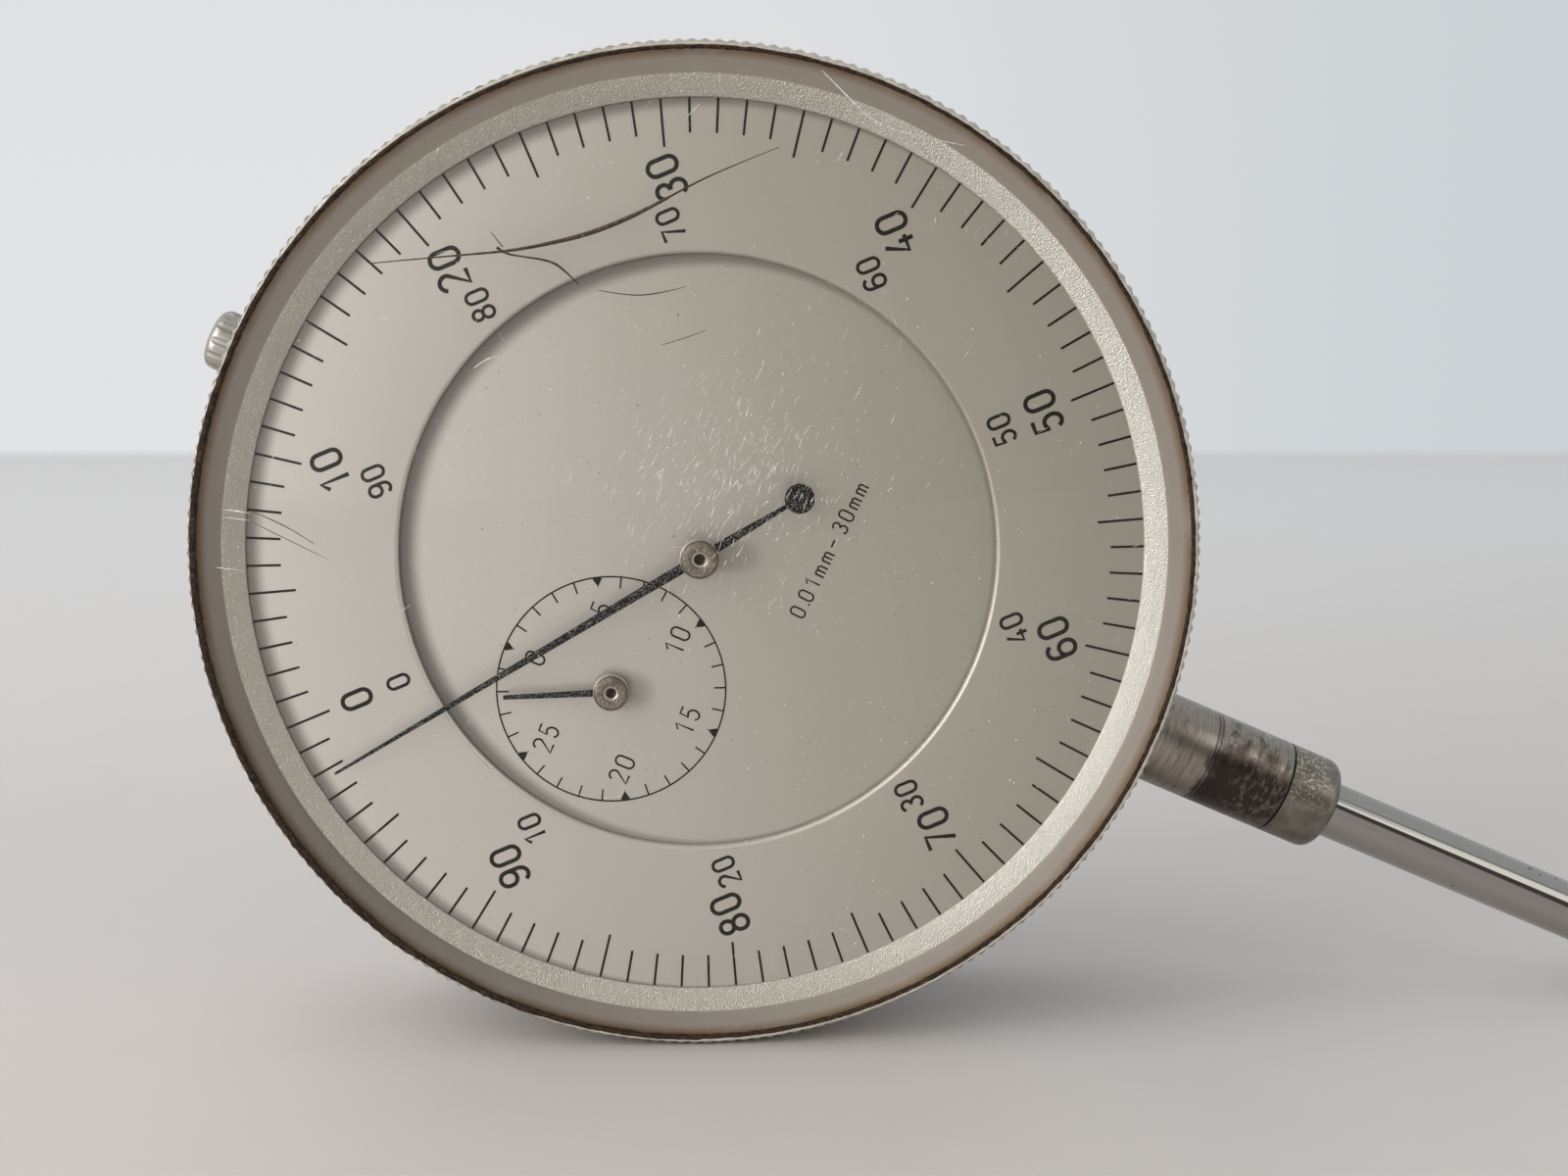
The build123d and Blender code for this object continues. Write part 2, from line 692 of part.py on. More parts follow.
contact_waist_radius = spindle_radius - contact_waist
with BuildPart() as contact_point:
    with BuildSketch(Plane.XZ):
        add(
            turned_face(
                (0, dial_z + ball_height),
                (ball_dia / 2 - contact_ball_hold, dial_z + ball_height),
                (contact_waist_radius, dial_z + ball_height + contact_length * contact_cone_share),
                (contact_waist_radius, dial_z + spindle_end - contact_collar - contact_collar_bevel),
                (spindle_radius, dial_z + spindle_end - contact_collar),
                (spindle_radius, dial_z + spindle_end),
                (contact_shank_dia / 2, dial_z + spindle_end),
                (contact_shank_dia / 2, dial_z + spindle_end + contact_shank_length),
                (0, dial_z + spindle_end + contact_shank_length),
            )
        )
    revolve(axis=Axis.Z)
    with Locations((0, 0, dial_z + ball_height)):
        Sphere(ball_dia / 2 + contact_socket, mode=Mode.SUBTRACT)
contact_point.part.label = "contact_point"
export_step(contact_point.part, "parts/contact_point.step")

with BuildPart() as contact_ball:
    with Locations((0, 0, dial_z + ball_height)):
        Sphere(ball_dia / 2)
contact_ball.part.label = "contact_ball"
export_step(contact_ball.part, "parts/contact_ball.step")

with BuildPart(Plane.XY.offset(dial_z + knob_base)) as lifting_knob:
    Cylinder(knob_dia / 2, knob_height, align=standing)
    fillet(lifting_knob.edges().group_by(Axis.Z)[-1], knob_round)
    chamfer(lifting_knob.edges().group_by(Axis.Z)[0], knob_chamfer)
    Cylinder(
        knob_stud_dia / 2 + press_gap,
        knob_stud_length + knob_stud_air,
        align=standing,
        mode=Mode.SUBTRACT,
    )
    with PolarLocations(knob_dia / 2 + knob_flute_radius - knob_flute_depth, knob_flutes):
        Cylinder(knob_flute_radius, knob_height, align=standing, mode=Mode.SUBTRACT)
lifting_knob.part.label = "lifting_knob"
export_step(lifting_knob.part, "parts/lifting_knob.step")

# ---- Guide pin, guide rail and return spring -------------------------------------------------------------
with BuildPart(Plane(origin=(0, 0, dial_z + guide_pin_z), x_dir=(0, 1, 0), z_dir=(1, 0, 0))) as guide_pin:
    with Locations((0, 0, guide_pin_end_air)):
        Cylinder(guide_pin_dia / 2, guide_pin_reach - guide_pin_end_air, align=standing)
    with Locations((0, 0, spring_x - hook_groove_width / 2)):
        Cylinder(guide_pin_dia, hook_groove_width, align=standing, mode=Mode.SUBTRACT)
        Cylinder(guide_pin_dia / 2 - hook_groove_depth, hook_groove_width, align=standing)
guide_pin.part.label = "guide_pin"
export_step(guide_pin.part, "parts/guide_pin.step")

with BuildPart() as guide_rail:
    with BuildSketch(Plane.YZ.offset(rail_x)):
        with Locations((0, dial_z + rail_bottom)):
            Rectangle(rail_depth, rail_top - rail_bottom, align=(Align.CENTER, Align.MIN))
        with Locations((0, dial_z + (rail_slot_low + rail_slot_high) / 2)):
            Rectangle(
                guide_pin_dia + 2 * rail_slot_gap, rail_slot_high - rail_slot_low, mode=Mode.SUBTRACT
            )
    extrude(amount=rail_thickness)
    with BuildSketch(facing(-rail_depth / 2)):
        for low in (rail_bottom, rail_top - rail_foot):
            with Locations((rail_x, low)):
                Rectangle(rail_foot_width, rail_foot, align=(Align.MIN, Align.MIN))
    extrude(amount=-rail_depth / 2 - floor_back)
    with BuildSketch(facing(floor_back)):
        for x, z in rail_feet:
            with Locations((x, z)):
                Circle(bridge_screw_dia / 2 + press_gap)
    extrude(amount=-(screw_grip + screw_grip_air), mode=Mode.SUBTRACT)
guide_rail.part.label = "guide_rail"
export_step(guide_rail.part, "parts/guide_rail.step")

rail_screw_parts = [
    cheese_head_screw(
        facing(floor_front + screw_recess_depth, x, z),
        bridge_screw_dia,
        floor_sheet - screw_recess_depth + screw_grip,
        bridge_screw_head,
        bridge_screw_head_height,
    )
    for x, z in rail_feet
]
rail_screws = Compound(label="rail_screws", children=rail_screw_parts)
export_step(rail_screws, "parts/rail_screws.step")

with BuildPart(facing(floor_back, spring_x, spring_post_z)) as spring_post:
    Cylinder(pillar_spigot_dia / 2, floor_sheet, align=standing)
    with Locations((0, 0, floor_back - spring_post_rear)):
        Cylinder(spring_post_dia / 2, spring_post_rear - floor_back, align=standing)
    with Locations((0, 0, floor_back - hook_groove_width / 2)):
        Cylinder(spring_post_dia, hook_groove_width, align=standing, mode=Mode.SUBTRACT)
        Cylinder(spring_post_dia / 2 - hook_groove_depth, hook_groove_width, align=standing)
spring_post.part.label = "spring_post"
export_step(spring_post.part, "parts/spring_post.step")

hook_radius = spring_post_dia / 2
coil_low = spring_post_z + hook_radius + spring_wire / 2
coil_high = guide_pin_z - hook_radius - spring_wire / 2
coil_radius = (spring_coil_dia - spring_wire) / 2
with BuildPart() as coil:
    with BuildLine() as coil_line:
        Helix(
            pitch=(coil_high - coil_low) / spring_turns,
            height=coil_high - coil_low,
            radius=coil_radius,
            center=(spring_x, 0, dial_z + coil_low),
        )
    with BuildSketch(Plane(origin=coil_line.line @ 0, z_dir=coil_line.line % 0)):
        Circle(spring_wire / 2)
    sweep(path=coil_line.line, is_frenet=True)
with BuildPart(Plane(origin=(spring_x, 0, dial_z + guide_pin_z), z_dir=(1, 0, 0))) as upper_hook:
    Torus(hook_radius, spring_wire / 2)
with BuildPart(facing(0, spring_x, spring_post_z)) as lower_hook:
    Torus(hook_radius, spring_wire / 2)
return_spring = Compound(label="return_spring", children=[coil.part, upper_hook.part, lower_hook.part])
export_step(return_spring, "parts/return_spring.step")

# ---- Bezel, scale ring, flange ring and crystal ----------------------------------------------------------
with BuildPart() as bezel:
    with BuildSketch(Plane.XY.offset(dial_z)):
        add(
            turned_face(
                (crystal_seat_radius, bezel_front),
                (bezel_radius - bezel_chamfer, bezel_front),
                (bezel_radius, bezel_front + bezel_chamfer),
                (bezel_radius, bezel_back - bezel_chamfer),
                (bezel_radius - bezel_chamfer, bezel_back),
                (bezel_bore, bezel_back),
                (bezel_bore, scale_back + bezel_ledge),
                (bezel_bore - bezel_ledge_width, scale_back + bezel_ledge),
                (bezel_bore - bezel_ledge_width, scale_back),
                (crystal_seat_radius, scale_back),
            )
        )
    revolve(axis=arbor_axis())
    # straight knurl round the edge
    knurl_points = []
    for number in range(2 * knurl_teeth):
        radius = bezel_radius - (number % 2) * knurl_depth
        angle = pi * number / knurl_teeth
        knurl_points.append((radius * cos(angle), radius * sin(angle)))
    with BuildSketch(facing(bezel_back)):
        with BuildLine():
            Polyline(*knurl_points, close=True)
        make_face()
    extrude(amount=bezel_depth, mode=Mode.INTERSECT)
    # groove for the spring wire
    with BuildSketch(Plane.XY.offset(dial_z)):
        with Locations((bezel_bore, bezel_back - wire_groove)):
            Rectangle(2 * wire_groove_depth, wire_groove)
    revolve(axis=arbor_axis(), mode=Mode.SUBTRACT)
bezel.part.label = "bezel"
export_step(bezel.part, "parts/bezel.step")

with BuildPart() as bezel_spring_wire:
    with BuildSketch(Plane.XY.offset(dial_z)):
        with Locations(((neck_radius + bezel_bore) / 2, bezel_back - wire_groove)):
            Circle(wire_dia / 2)
    revolve(axis=arbor_axis(), revolution_arc=360 - wire_gap_angle)
bezel_spring_wire.part.label = "bezel_spring_wire"
export_step(bezel_spring_wire.part, "parts/bezel_spring_wire.step")

with BuildPart() as scale_ring:
    with BuildSketch(facing(scale_back)):
        Circle(crystal_radius)
        Circle(scale_inner_radius, mode=Mode.SUBTRACT)
    extrude(amount=scale_sheet)
    chamfer(scale_ring.edges().group_by(Axis.Y)[0].sort_by(SortBy.LENGTH)[0], scale_chamfer)
scale_ring.part.label = "scale_ring"
export_step(scale_ring.part, "parts/scale_ring.step")

flange_front = scale_front - flange_outer_rise
with BuildPart() as flange_ring:
    with BuildSketch(Plane.XY.offset(dial_z)):
        add(
            turned_face(
                (flange_inner_radius, scale_front),
                (flange_inner_radius, scale_front - flange_inner_rise),
                (flange_ridge_radius, scale_front - flange_ridge_rise),
                (crystal_radius, flange_front),
                (crystal_radius, scale_front),
            )
        )
    revolve(axis=arbor_axis())
flange_ring.part.label = "flange_ring"
export_step(flange_ring.part, "parts/flange_ring.step")

# The radius of an arc that falls by a drop over half its width.
def crown_radius(half_width, drop):
    return (half_width**2 + drop**2) / (2 * drop)


# The crystal's dome is one large arc that turns down to the rim in a small one.
outer_crown = flange_front - crystal_rise
inner_crown = outer_crown + crystal_wall
outer_half = crystal_radius - crystal_shoulder
inner_half = outer_half - crystal_inner_step
dome_drop = crystal_rise - crystal_shoulder_rise
outer_dome_radius = crown_radius(outer_half, dome_drop)
inner_dome_radius = crown_radius(inner_half, dome_drop)
with BuildPart() as crystal:
    with BuildSketch(Plane.XY.offset(dial_z)):
        with BuildLine():
            outer_dome = CenterArc(
                (0, outer_crown + outer_dome_radius),
                outer_dome_radius,
                -90,
                degrees(2 * atan2(dome_drop, outer_half)),
            )
            outer_edge = TangentArc(
                outer_dome @ 1,
                (crystal_radius, flange_front - crystal_edge),
                tangent=outer_dome % 1,
            )
            Line(outer_edge @ 1, (crystal_radius, flange_front))
            Line((crystal_radius, flange_front), (crystal_radius - crystal_wall, flange_front))
            inner_dome = CenterArc(
                (0, inner_crown + inner_dome_radius),
                inner_dome_radius,
                -90,
                degrees(2 * atan2(dome_drop, inner_half)),
            )
            TangentArc(
                inner_dome @ 1, (crystal_radius - crystal_wall, flange_front), tangent=inner_dome % 1
            )
            Line(outer_dome @ 0, inner_dome @ 0)
        make_face()
    revolve(axis=arbor_axis())
crystal.part.label = "crystal"
export_step(crystal.part, "parts/crystal.step")

# ---- Centre dial -----------------------------------------------------------------------------------------
with BuildPart() as centre_dial:
    with BuildSketch(facing(floor_front)):
        Circle(disc_radius)
        Circle(centre_staff_dia / 2 + dial_hole_air, mode=Mode.SUBTRACT)
        with Locations((counter_x, counter_z)):
            Circle(counter_staff_dia / 2 + dial_hole_air, mode=Mode.SUBTRACT)
    extrude(amount=disc_sheet)
    with BuildSketch(facing(floor_back)):
        for x, z in disc_feet:
            with Locations((x, z)):
                Circle(foot_dia / 2)
    extrude(amount=floor_sheet)
centre_dial.part.label = "centre_dial"
export_step(centre_dial.part, "parts/centre_dial.step")

# ---- Hands and their arbors ------------------------------------------------------------------------------
hub_tip = scale_front - hub_front
small_hub_back = disc_front - small_hub_above_disc
small_hub_tip = small_hub_back - small_hub_height
towards_first = atan2(first_z, first_x)
towards_takeup = atan2(takeup_z, takeup_x)
towards_counter = atan2(counter_z - first_z, counter_x - first_x)
pinion_width = wheel_width + 2 * pinion_overhang
pivot_length = bridge_sheet - pivot_inset

with BuildPart(facing(bridge_front)) as centre_arbor:
    with Locations((0, 0, -pivot_length)):
        Cylinder(pivot_dia / 2, pivot_length + end_shake, align=standing)
    with Locations((0, 0, end_shake)):
        Cylinder(centre_core_dia / 2, bridge_front - floor_back - 2 * end_shake, align=standing)
    with Locations((0, 0, bridge_front - floor_back - end_shake)):
        Cylinder(centre_staff_dia / 2, floor_back + end_shake - hub_tip - staff_inset, align=standing)
    with BuildSketch(facing(train_back + pinion_overhang)):
        add(gear_face(pinion_teeth, train_module, towards_first))
    extrude(amount=pinion_width)
centre_arbor.part.label = "centre_arbor"
export_step(centre_arbor.part, "parts/centre_arbor.step")

with BuildPart() as pointer:
    with BuildSketch(facing(scale_front - pointer_rise)):
        with Locations(Rotation(0, 0, -pointer_angle)):
            add(
                hand_face(
                    pointer_length,
                    pointer_root_width,
                    pointer_tip_width,
                    pointer_tail,
                    pointer_tail_width,
                    tail_disc_dia,
                )
            )
        Circle(pointer_boss_dia / 2)
        Circle(centre_staff_dia / 2 + press_gap, mode=Mode.SUBTRACT)
    extrude(amount=pointer_sheet)
pointer.part.label = "pointer"
export_step(pointer.part, "parts/pointer.step")

pointer_front = scale_front - pointer_rise - pointer_sheet
with BuildPart(facing(pointer_front)) as pointer_hub:
    Cylinder(hub_dia / 2, pointer_front - hub_tip, align=standing)
    chamfer(pointer_hub.edges().group_by(Axis.Y)[0], hub_chamfer)
    Cylinder(centre_staff_dia / 2 + press_gap, pointer_front - hub_tip, align=standing, mode=Mode.SUBTRACT)
pointer_hub.part.label = "pointer_hub"
export_step(pointer_hub.part, "parts/pointer_hub.step")

counter_wheel_turn = towards_counter + pi + pi / counter_wheel_teeth
with BuildPart(facing(bridge_front, counter_x, counter_z)) as counter_arbor:
    with Locations((0, 0, -pivot_length)):
        Cylinder(pivot_dia / 2, pivot_length + end_shake, align=standing)
    with Locations((0, 0, end_shake)):
        Cylinder(counter_core_dia / 2, bridge_front - floor_back - 2 * end_shake, align=standing)
    with Locations((0, 0, bridge_front - floor_back - end_shake)):
        Cylinder(
            counter_staff_dia / 2,
            floor_back + end_shake - small_hub_tip - staff_inset,
            align=standing,
        )
counter_arbor.part.label = "counter_arbor"
export_step(counter_arbor.part, "parts/counter_arbor.step")

with BuildPart() as counter_wheel:
    with BuildSketch(facing(counter_wheel_back, counter_x, counter_z)):
        add(gear_face(counter_wheel_teeth, counter_module, counter_wheel_turn))
        Circle(counter_core_dia / 2 + press_gap, mode=Mode.SUBTRACT)
        with PolarLocations(counter_wheel_radius * wheel_hole_place, wheel_hole_count):
            Circle(counter_wheel_radius * wheel_hole_size, mode=Mode.SUBTRACT)
    extrude(amount=wheel_width)
counter_wheel.part.label = "counter_wheel"
export_step(counter_wheel.part, "parts/counter_wheel.step")

with BuildPart() as small_pointer:
    with BuildSketch(facing(small_hub_back, counter_x, counter_z)):
        Circle(small_hub_dia / 2)
        Circle(counter_staff_dia / 2 + press_gap, mode=Mode.SUBTRACT)
    extrude(amount=small_hub_height)
    chamfer(small_pointer.edges().group_by(Axis.Y)[0], hub_chamfer)
    with BuildSketch(facing(small_hub_back - small_hand_step, counter_x, counter_z)):
        with Locations(Rotation(0, 0, -counter_angle)):
            add(
                hand_face(
                    small_length,
                    small_root_width,
                    pointer_tip_width,
                    small_tail,
                    pointer_tip_width,
                )
            )
        Circle(counter_staff_dia / 2 + press_gap, mode=Mode.SUBTRACT)
    extrude(amount=small_sheet)
small_pointer.part.label = "small_pointer"
export_step(small_pointer.part, "parts/small_pointer.step")

# ---- First arbor: rack pinion, transfer wheel and counter pinion -----------------------------------------
first_rear_pivot = rear_bridge_sheet - pivot_inset
with BuildPart(facing(rear_bridge_front, first_x, first_z)) as first_arbor:
    with Locations((0, 0, -first_rear_pivot)):
        Cylinder(first_pivot_dia / 2, first_rear_pivot + end_shake, align=standing)
    with Locations((0, 0, end_shake)):
        Cylinder(first_staff_dia / 2, rear_bridge_front - floor_back - 2 * end_shake, align=standing)
    with Locations((0, 0, rear_bridge_front - floor_back - end_shake)):
        Cylinder(first_pivot_dia / 2, front_pivot_length, align=standing)
    with BuildSketch(facing(rack_pinion_width / 2, first_x, first_z)):
        add(gear_face(rack_pinion_teeth, rack_module, 0.0, rack_addendum_share))
    extrude(amount=rack_pinion_width)
first_arbor.part.label = "first_arbor"
export_step(first_arbor.part, "parts/first_arbor.step")

with BuildPart() as transfer_wheel:
    with BuildSketch(facing(train_back, first_x, first_z)):
        add(gear_face(wheel_teeth, train_module, towards_first + pi + pi / wheel_teeth, wheel_addendum))
        Circle(first_staff_dia / 2 + press_gap, mode=Mode.SUBTRACT)
        with PolarLocations(train_wheel_radius * wheel_hole_place, wheel_hole_count):
            Circle(train_wheel_radius * wheel_hole_size, mode=Mode.SUBTRACT)
    extrude(amount=wheel_width)
transfer_wheel.part.label = "transfer_wheel"
export_step(transfer_wheel.part, "parts/transfer_wheel.step")

with BuildPart() as counter_pinion:
    with BuildSketch(facing(counter_wheel_back + pinion_overhang, first_x, first_z)):
        add(gear_face(counter_pinion_teeth, counter_module, towards_counter))
        Circle(first_staff_dia / 2 + press_gap, mode=Mode.SUBTRACT)
    extrude(amount=pinion_width)
counter_pinion.part.label = "counter_pinion"
export_step(counter_pinion.part, "parts/counter_pinion.step")

# ---- Take-up arbor: wheel, collet and hairspring ---------------------------------------------------------
with BuildPart(facing(bridge_front, takeup_x, takeup_z)) as takeup_arbor:
    with Locations((0, 0, -pivot_length)):
        Cylinder(pivot_dia / 2, pivot_length + end_shake, align=standing)
    with Locations((0, 0, end_shake)):
        Cylinder(takeup_staff_dia / 2, bridge_front - floor_back - 2 * end_shake, align=standing)
    with Locations((0, 0, bridge_front - floor_back - end_shake)):
        Cylinder(pivot_dia / 2, front_pivot_length, align=standing)
takeup_arbor.part.label = "takeup_arbor"
export_step(takeup_arbor.part, "parts/takeup_arbor.step")

with BuildPart() as takeup_wheel:
    with BuildSketch(facing(train_back, takeup_x, takeup_z)):
        add(gear_face(wheel_teeth, train_module, towards_takeup + pi + pi / wheel_teeth, wheel_addendum))
        Circle(takeup_staff_dia / 2 + press_gap, mode=Mode.SUBTRACT)
        with PolarLocations(train_wheel_radius * wheel_hole_place, wheel_hole_count):
            Circle(train_wheel_radius * wheel_hole_size, mode=Mode.SUBTRACT)
    extrude(amount=wheel_width)
takeup_wheel.part.label = "takeup_wheel"
export_step(takeup_wheel.part, "parts/takeup_wheel.step")

collet_back = bridge_front - collet_air
collet_front = train_back + collet_air
with BuildPart(facing(collet_back, takeup_x, takeup_z)) as hairspring_collet:
    Cylinder(collet_dia / 2, collet_back - collet_front, align=standing)
    Cylinder(
        takeup_staff_dia / 2 + press_gap,
        collet_back - collet_front,
        align=standing,
        mode=Mode.SUBTRACT,
    )
hairspring_collet.part.label = "hairspring_collet"
export_step(hairspring_collet.part, "parts/hairspring_collet.step")

hairspring_middle = (collet_back + collet_front) / 2
spiral_steps = 120
spiral_shares = [number / spiral_steps for number in range(spiral_steps + 1)]


# A point a share of the way out along the spiral, offset from the blade's middle line.
def spiral_point(share, offset):
    angle = pi + 2 * pi * hairspring_turns * (share - 1)
    radius = hairspring_inner + (hairspring_outer - hairspring_inner) * share + offset
    return (radius * cos(angle), radius * sin(angle))


spiral_inside = [spiral_point(share, -hairspring_blade / 2) for share in spiral_shares]
spiral_outside = [spiral_point(share, hairspring_blade / 2) for share in reversed(spiral_shares)]
with BuildPart() as hairspring:
    with BuildSketch(facing(hairspring_middle + hairspring_height / 2, takeup_x, takeup_z)):
        with BuildLine():
            Polyline(*spiral_inside, *spiral_outside, close=True)
        make_face()
    extrude(amount=hairspring_height)
hairspring.part.label = "hairspring"
export_step(hairspring.part, "parts/hairspring.step")

stud_radius = stud_dia / 2
stud_x = takeup_x - hairspring_outer - hairspring_blade / 2 - stud_radius - running_gap
with BuildPart(facing(bridge_back, stud_x, takeup_z)) as hairspring_stud:
    Cylinder(stud_radius, bridge_back - collet_front, align=standing)
hairspring_stud.part.label = "hairspring_stud"
export_step(hairspring_stud.part, "parts/hairspring_stud.step")

# ---- Bridges, pillars, screws and jewels -----------------------------------------------------------------
with BuildPart() as centre_bridge:
    with BuildSketch(facing(bridge_back)):
        with Locations(*bridge_pillars, (takeup_x, takeup_z), (counter_x, counter_z), (first_x, first_z)):
            Circle(bridge_margin)
        make_hull()
        for x, z in [(0.0, 0.0), (takeup_x, takeup_z), (counter_x, counter_z)]:
            with Locations((x, z)):
                Circle(jewel_dia / 2 + press_gap, mode=Mode.SUBTRACT)
        for x, z in bridge_pillars + [middle_pillar]:
            with Locations((x, z)):
                Circle(bridge_screw_dia / 2 + press_gap, mode=Mode.SUBTRACT)
        with Locations((first_x, first_z)):
            Circle(first_staff_dia / 2 + staff_hole_air, mode=Mode.SUBTRACT)
        with Locations((stud_x, takeup_z)):
            Circle(stud_radius + press_gap, mode=Mode.SUBTRACT)
    extrude(amount=bridge_sheet)
centre_bridge.part.label = "centre_bridge"
export_step(centre_bridge.part, "parts/centre_bridge.step")

with BuildPart() as bridge_pillar_set:
    for x, z in bridge_pillars:
        with BuildSketch(facing(bridge_front, x, z)):
            Circle(pillar_radius)
        extrude(amount=bridge_front - floor_back)
        with BuildSketch(facing(floor_back, x, z)):
            Circle(pillar_spigot_dia / 2)
        extrude(amount=floor_sheet)
        with BuildSketch(facing(bridge_front, x, z)):
            Circle(bridge_screw_dia / 2 + press_gap)
        extrude(amount=screw_grip + screw_grip_air, mode=Mode.SUBTRACT)
bridge_pillar_set.part.label = "bridge_pillars"
export_step(bridge_pillar_set.part, "parts/bridge_pillars.step")

bridge_screw_parts = [
    cheese_head_screw(
        looking_back(bridge_back, x, z),
        bridge_screw_dia,
        bridge_sheet + screw_grip,
        bridge_screw_head,
        bridge_screw_low_head,
    )
    for x, z in bridge_pillars
]
bridge_screws = Compound(label="bridge_screws", children=bridge_screw_parts)
export_step(bridge_screws, "parts/bridge_screws.step")

with BuildPart() as rear_bridge:
    with BuildSketch(facing(rear_bridge_back)):
        with Locations(*rear_pillars, middle_pillar, (first_x, first_z)):
            Circle(bridge_margin)
        make_hull()
        with Locations((first_x, first_z)):
            Circle(jewel_dia / 2 + press_gap, mode=Mode.SUBTRACT)
        for x, z in rear_pillars + [middle_pillar]:
            with Locations((x, z)):
                Circle(bridge_screw_dia / 2 + press_gap, mode=Mode.SUBTRACT)
    extrude(amount=rear_bridge_sheet)
rear_bridge.part.label = "rear_bridge"
export_step(rear_bridge.part, "parts/rear_bridge.step")

with BuildPart() as rear_pillar_set:
    for x, z in rear_pillars:
        with BuildSketch(facing(rear_bridge_front, x, z)):
            Circle(pillar_radius)
        extrude(amount=rear_bridge_front - floor_back)
        with BuildSketch(facing(floor_back, x, z)):
            Circle(pillar_spigot_dia / 2)
        extrude(amount=floor_sheet)
    with BuildSketch(facing(rear_bridge_front, *middle_pillar)):
        Circle(pillar_radius)
    extrude(amount=rear_bridge_front - bridge_back)
    with BuildSketch(facing(bridge_back, *middle_pillar)):
        Circle(bridge_screw_dia / 2)
    extrude(amount=bridge_sheet)
    for x, z in rear_pillars + [middle_pillar]:
        with BuildSketch(facing(rear_bridge_front, x, z)):
            Circle(bridge_screw_dia / 2 + press_gap)
        extrude(amount=screw_grip + screw_grip_air, mode=Mode.SUBTRACT)
rear_pillar_set.part.label = "rear_pillars"
export_step(rear_pillar_set.part, "parts/rear_pillars.step")

rear_screw_parts = [
    cheese_head_screw(
        looking_back(rear_bridge_back, x, z),
        bridge_screw_dia,
        rear_bridge_sheet + screw_grip,
        bridge_screw_head,
        bridge_screw_head_height,
    )
    for x, z in rear_pillars + [middle_pillar]
]
rear_bridge_screws = Compound(label="rear_bridge_screws", children=rear_screw_parts)
export_step(rear_bridge_screws, "parts/rear_bridge_screws.step")

# Each jewel: place, back face, thickness and the pivot that turns in it.
jewels = [
    (0.0, 0.0, floor_back, floor_sheet, centre_staff_dia),
    (counter_x, counter_z, floor_back, floor_sheet, counter_staff_dia),
    (first_x, first_z, floor_back, floor_sheet, first_pivot_dia),
    (takeup_x, takeup_z, floor_back, floor_sheet, pivot_dia),
    (0.0, 0.0, bridge_back, bridge_sheet, pivot_dia),
    (counter_x, counter_z, bridge_back, bridge_sheet, pivot_dia),
    (takeup_x, takeup_z, bridge_back, bridge_sheet, pivot_dia),
    (first_x, first_z, rear_bridge_back, rear_bridge_sheet, first_pivot_dia),
]
jewel_parts = []
for x, z, back, thickness, pivot in jewels:
    with BuildPart(facing(back, x, z)) as jewel:
        Cylinder(jewel_dia / 2, thickness, align=standing)
        Cylinder(pivot / 2 + pivot_gap, thickness, align=standing, mode=Mode.SUBTRACT)
    jewel_parts.append(jewel.part)
pivot_jewels = Compound(label="pivot_jewels", children=jewel_parts)
export_step(pivot_jewels, "parts/pivot_jewels.step")

print("dial axis above origin", round(dial_z, 3))
print("contact ball centre", round(dial_z + ball_height, 3), "scale face y", round(scale_front, 3))
print("first arbor", round(first_x, 3), round(first_z, 3), "counter module", round(counter_module, 4))
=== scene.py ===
import bpy
import bmesh
import json
from math import asin, atan2, cos, hypot, pi, radians, sin, sqrt
from random import Random
from mathutils import Matrix, Vector

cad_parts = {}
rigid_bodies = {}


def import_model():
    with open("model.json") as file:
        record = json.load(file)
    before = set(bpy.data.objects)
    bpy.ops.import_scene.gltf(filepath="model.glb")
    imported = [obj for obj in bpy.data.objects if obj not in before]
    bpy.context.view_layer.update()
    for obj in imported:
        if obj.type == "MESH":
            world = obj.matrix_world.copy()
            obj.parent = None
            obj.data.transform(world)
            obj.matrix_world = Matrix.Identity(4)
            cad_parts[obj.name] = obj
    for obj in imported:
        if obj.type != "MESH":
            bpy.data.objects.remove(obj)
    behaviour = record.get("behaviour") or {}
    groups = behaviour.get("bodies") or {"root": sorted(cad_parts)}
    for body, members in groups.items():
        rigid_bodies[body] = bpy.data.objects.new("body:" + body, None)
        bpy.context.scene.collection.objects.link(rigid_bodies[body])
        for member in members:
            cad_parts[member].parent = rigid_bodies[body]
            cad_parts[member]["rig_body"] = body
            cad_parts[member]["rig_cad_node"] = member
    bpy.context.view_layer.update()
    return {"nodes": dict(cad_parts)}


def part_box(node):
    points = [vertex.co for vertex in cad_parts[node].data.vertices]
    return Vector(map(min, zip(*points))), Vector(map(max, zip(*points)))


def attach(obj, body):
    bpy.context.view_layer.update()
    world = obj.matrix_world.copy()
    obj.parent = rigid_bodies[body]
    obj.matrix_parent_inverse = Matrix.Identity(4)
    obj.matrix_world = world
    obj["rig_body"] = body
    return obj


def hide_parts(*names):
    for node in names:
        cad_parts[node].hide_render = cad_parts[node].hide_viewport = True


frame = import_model()
nodes = frame["nodes"]
print("frame loaded:", len(nodes), "nodes")

mm = 0.001
toMillimetres = 1000.0
sliver = 1e-6  # points nearer than this are merged
pole = 1e-4  # the radius that ends a turned piece on its axis, in millimetres
origin = Vector((0, 0, 0))


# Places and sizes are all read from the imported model.
def middleOf(node):
    low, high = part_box(node)
    return (low + high) / 2


def radiusOf(node):
    low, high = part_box(node)
    return (high.x - low.x) / 2 * toMillimetres


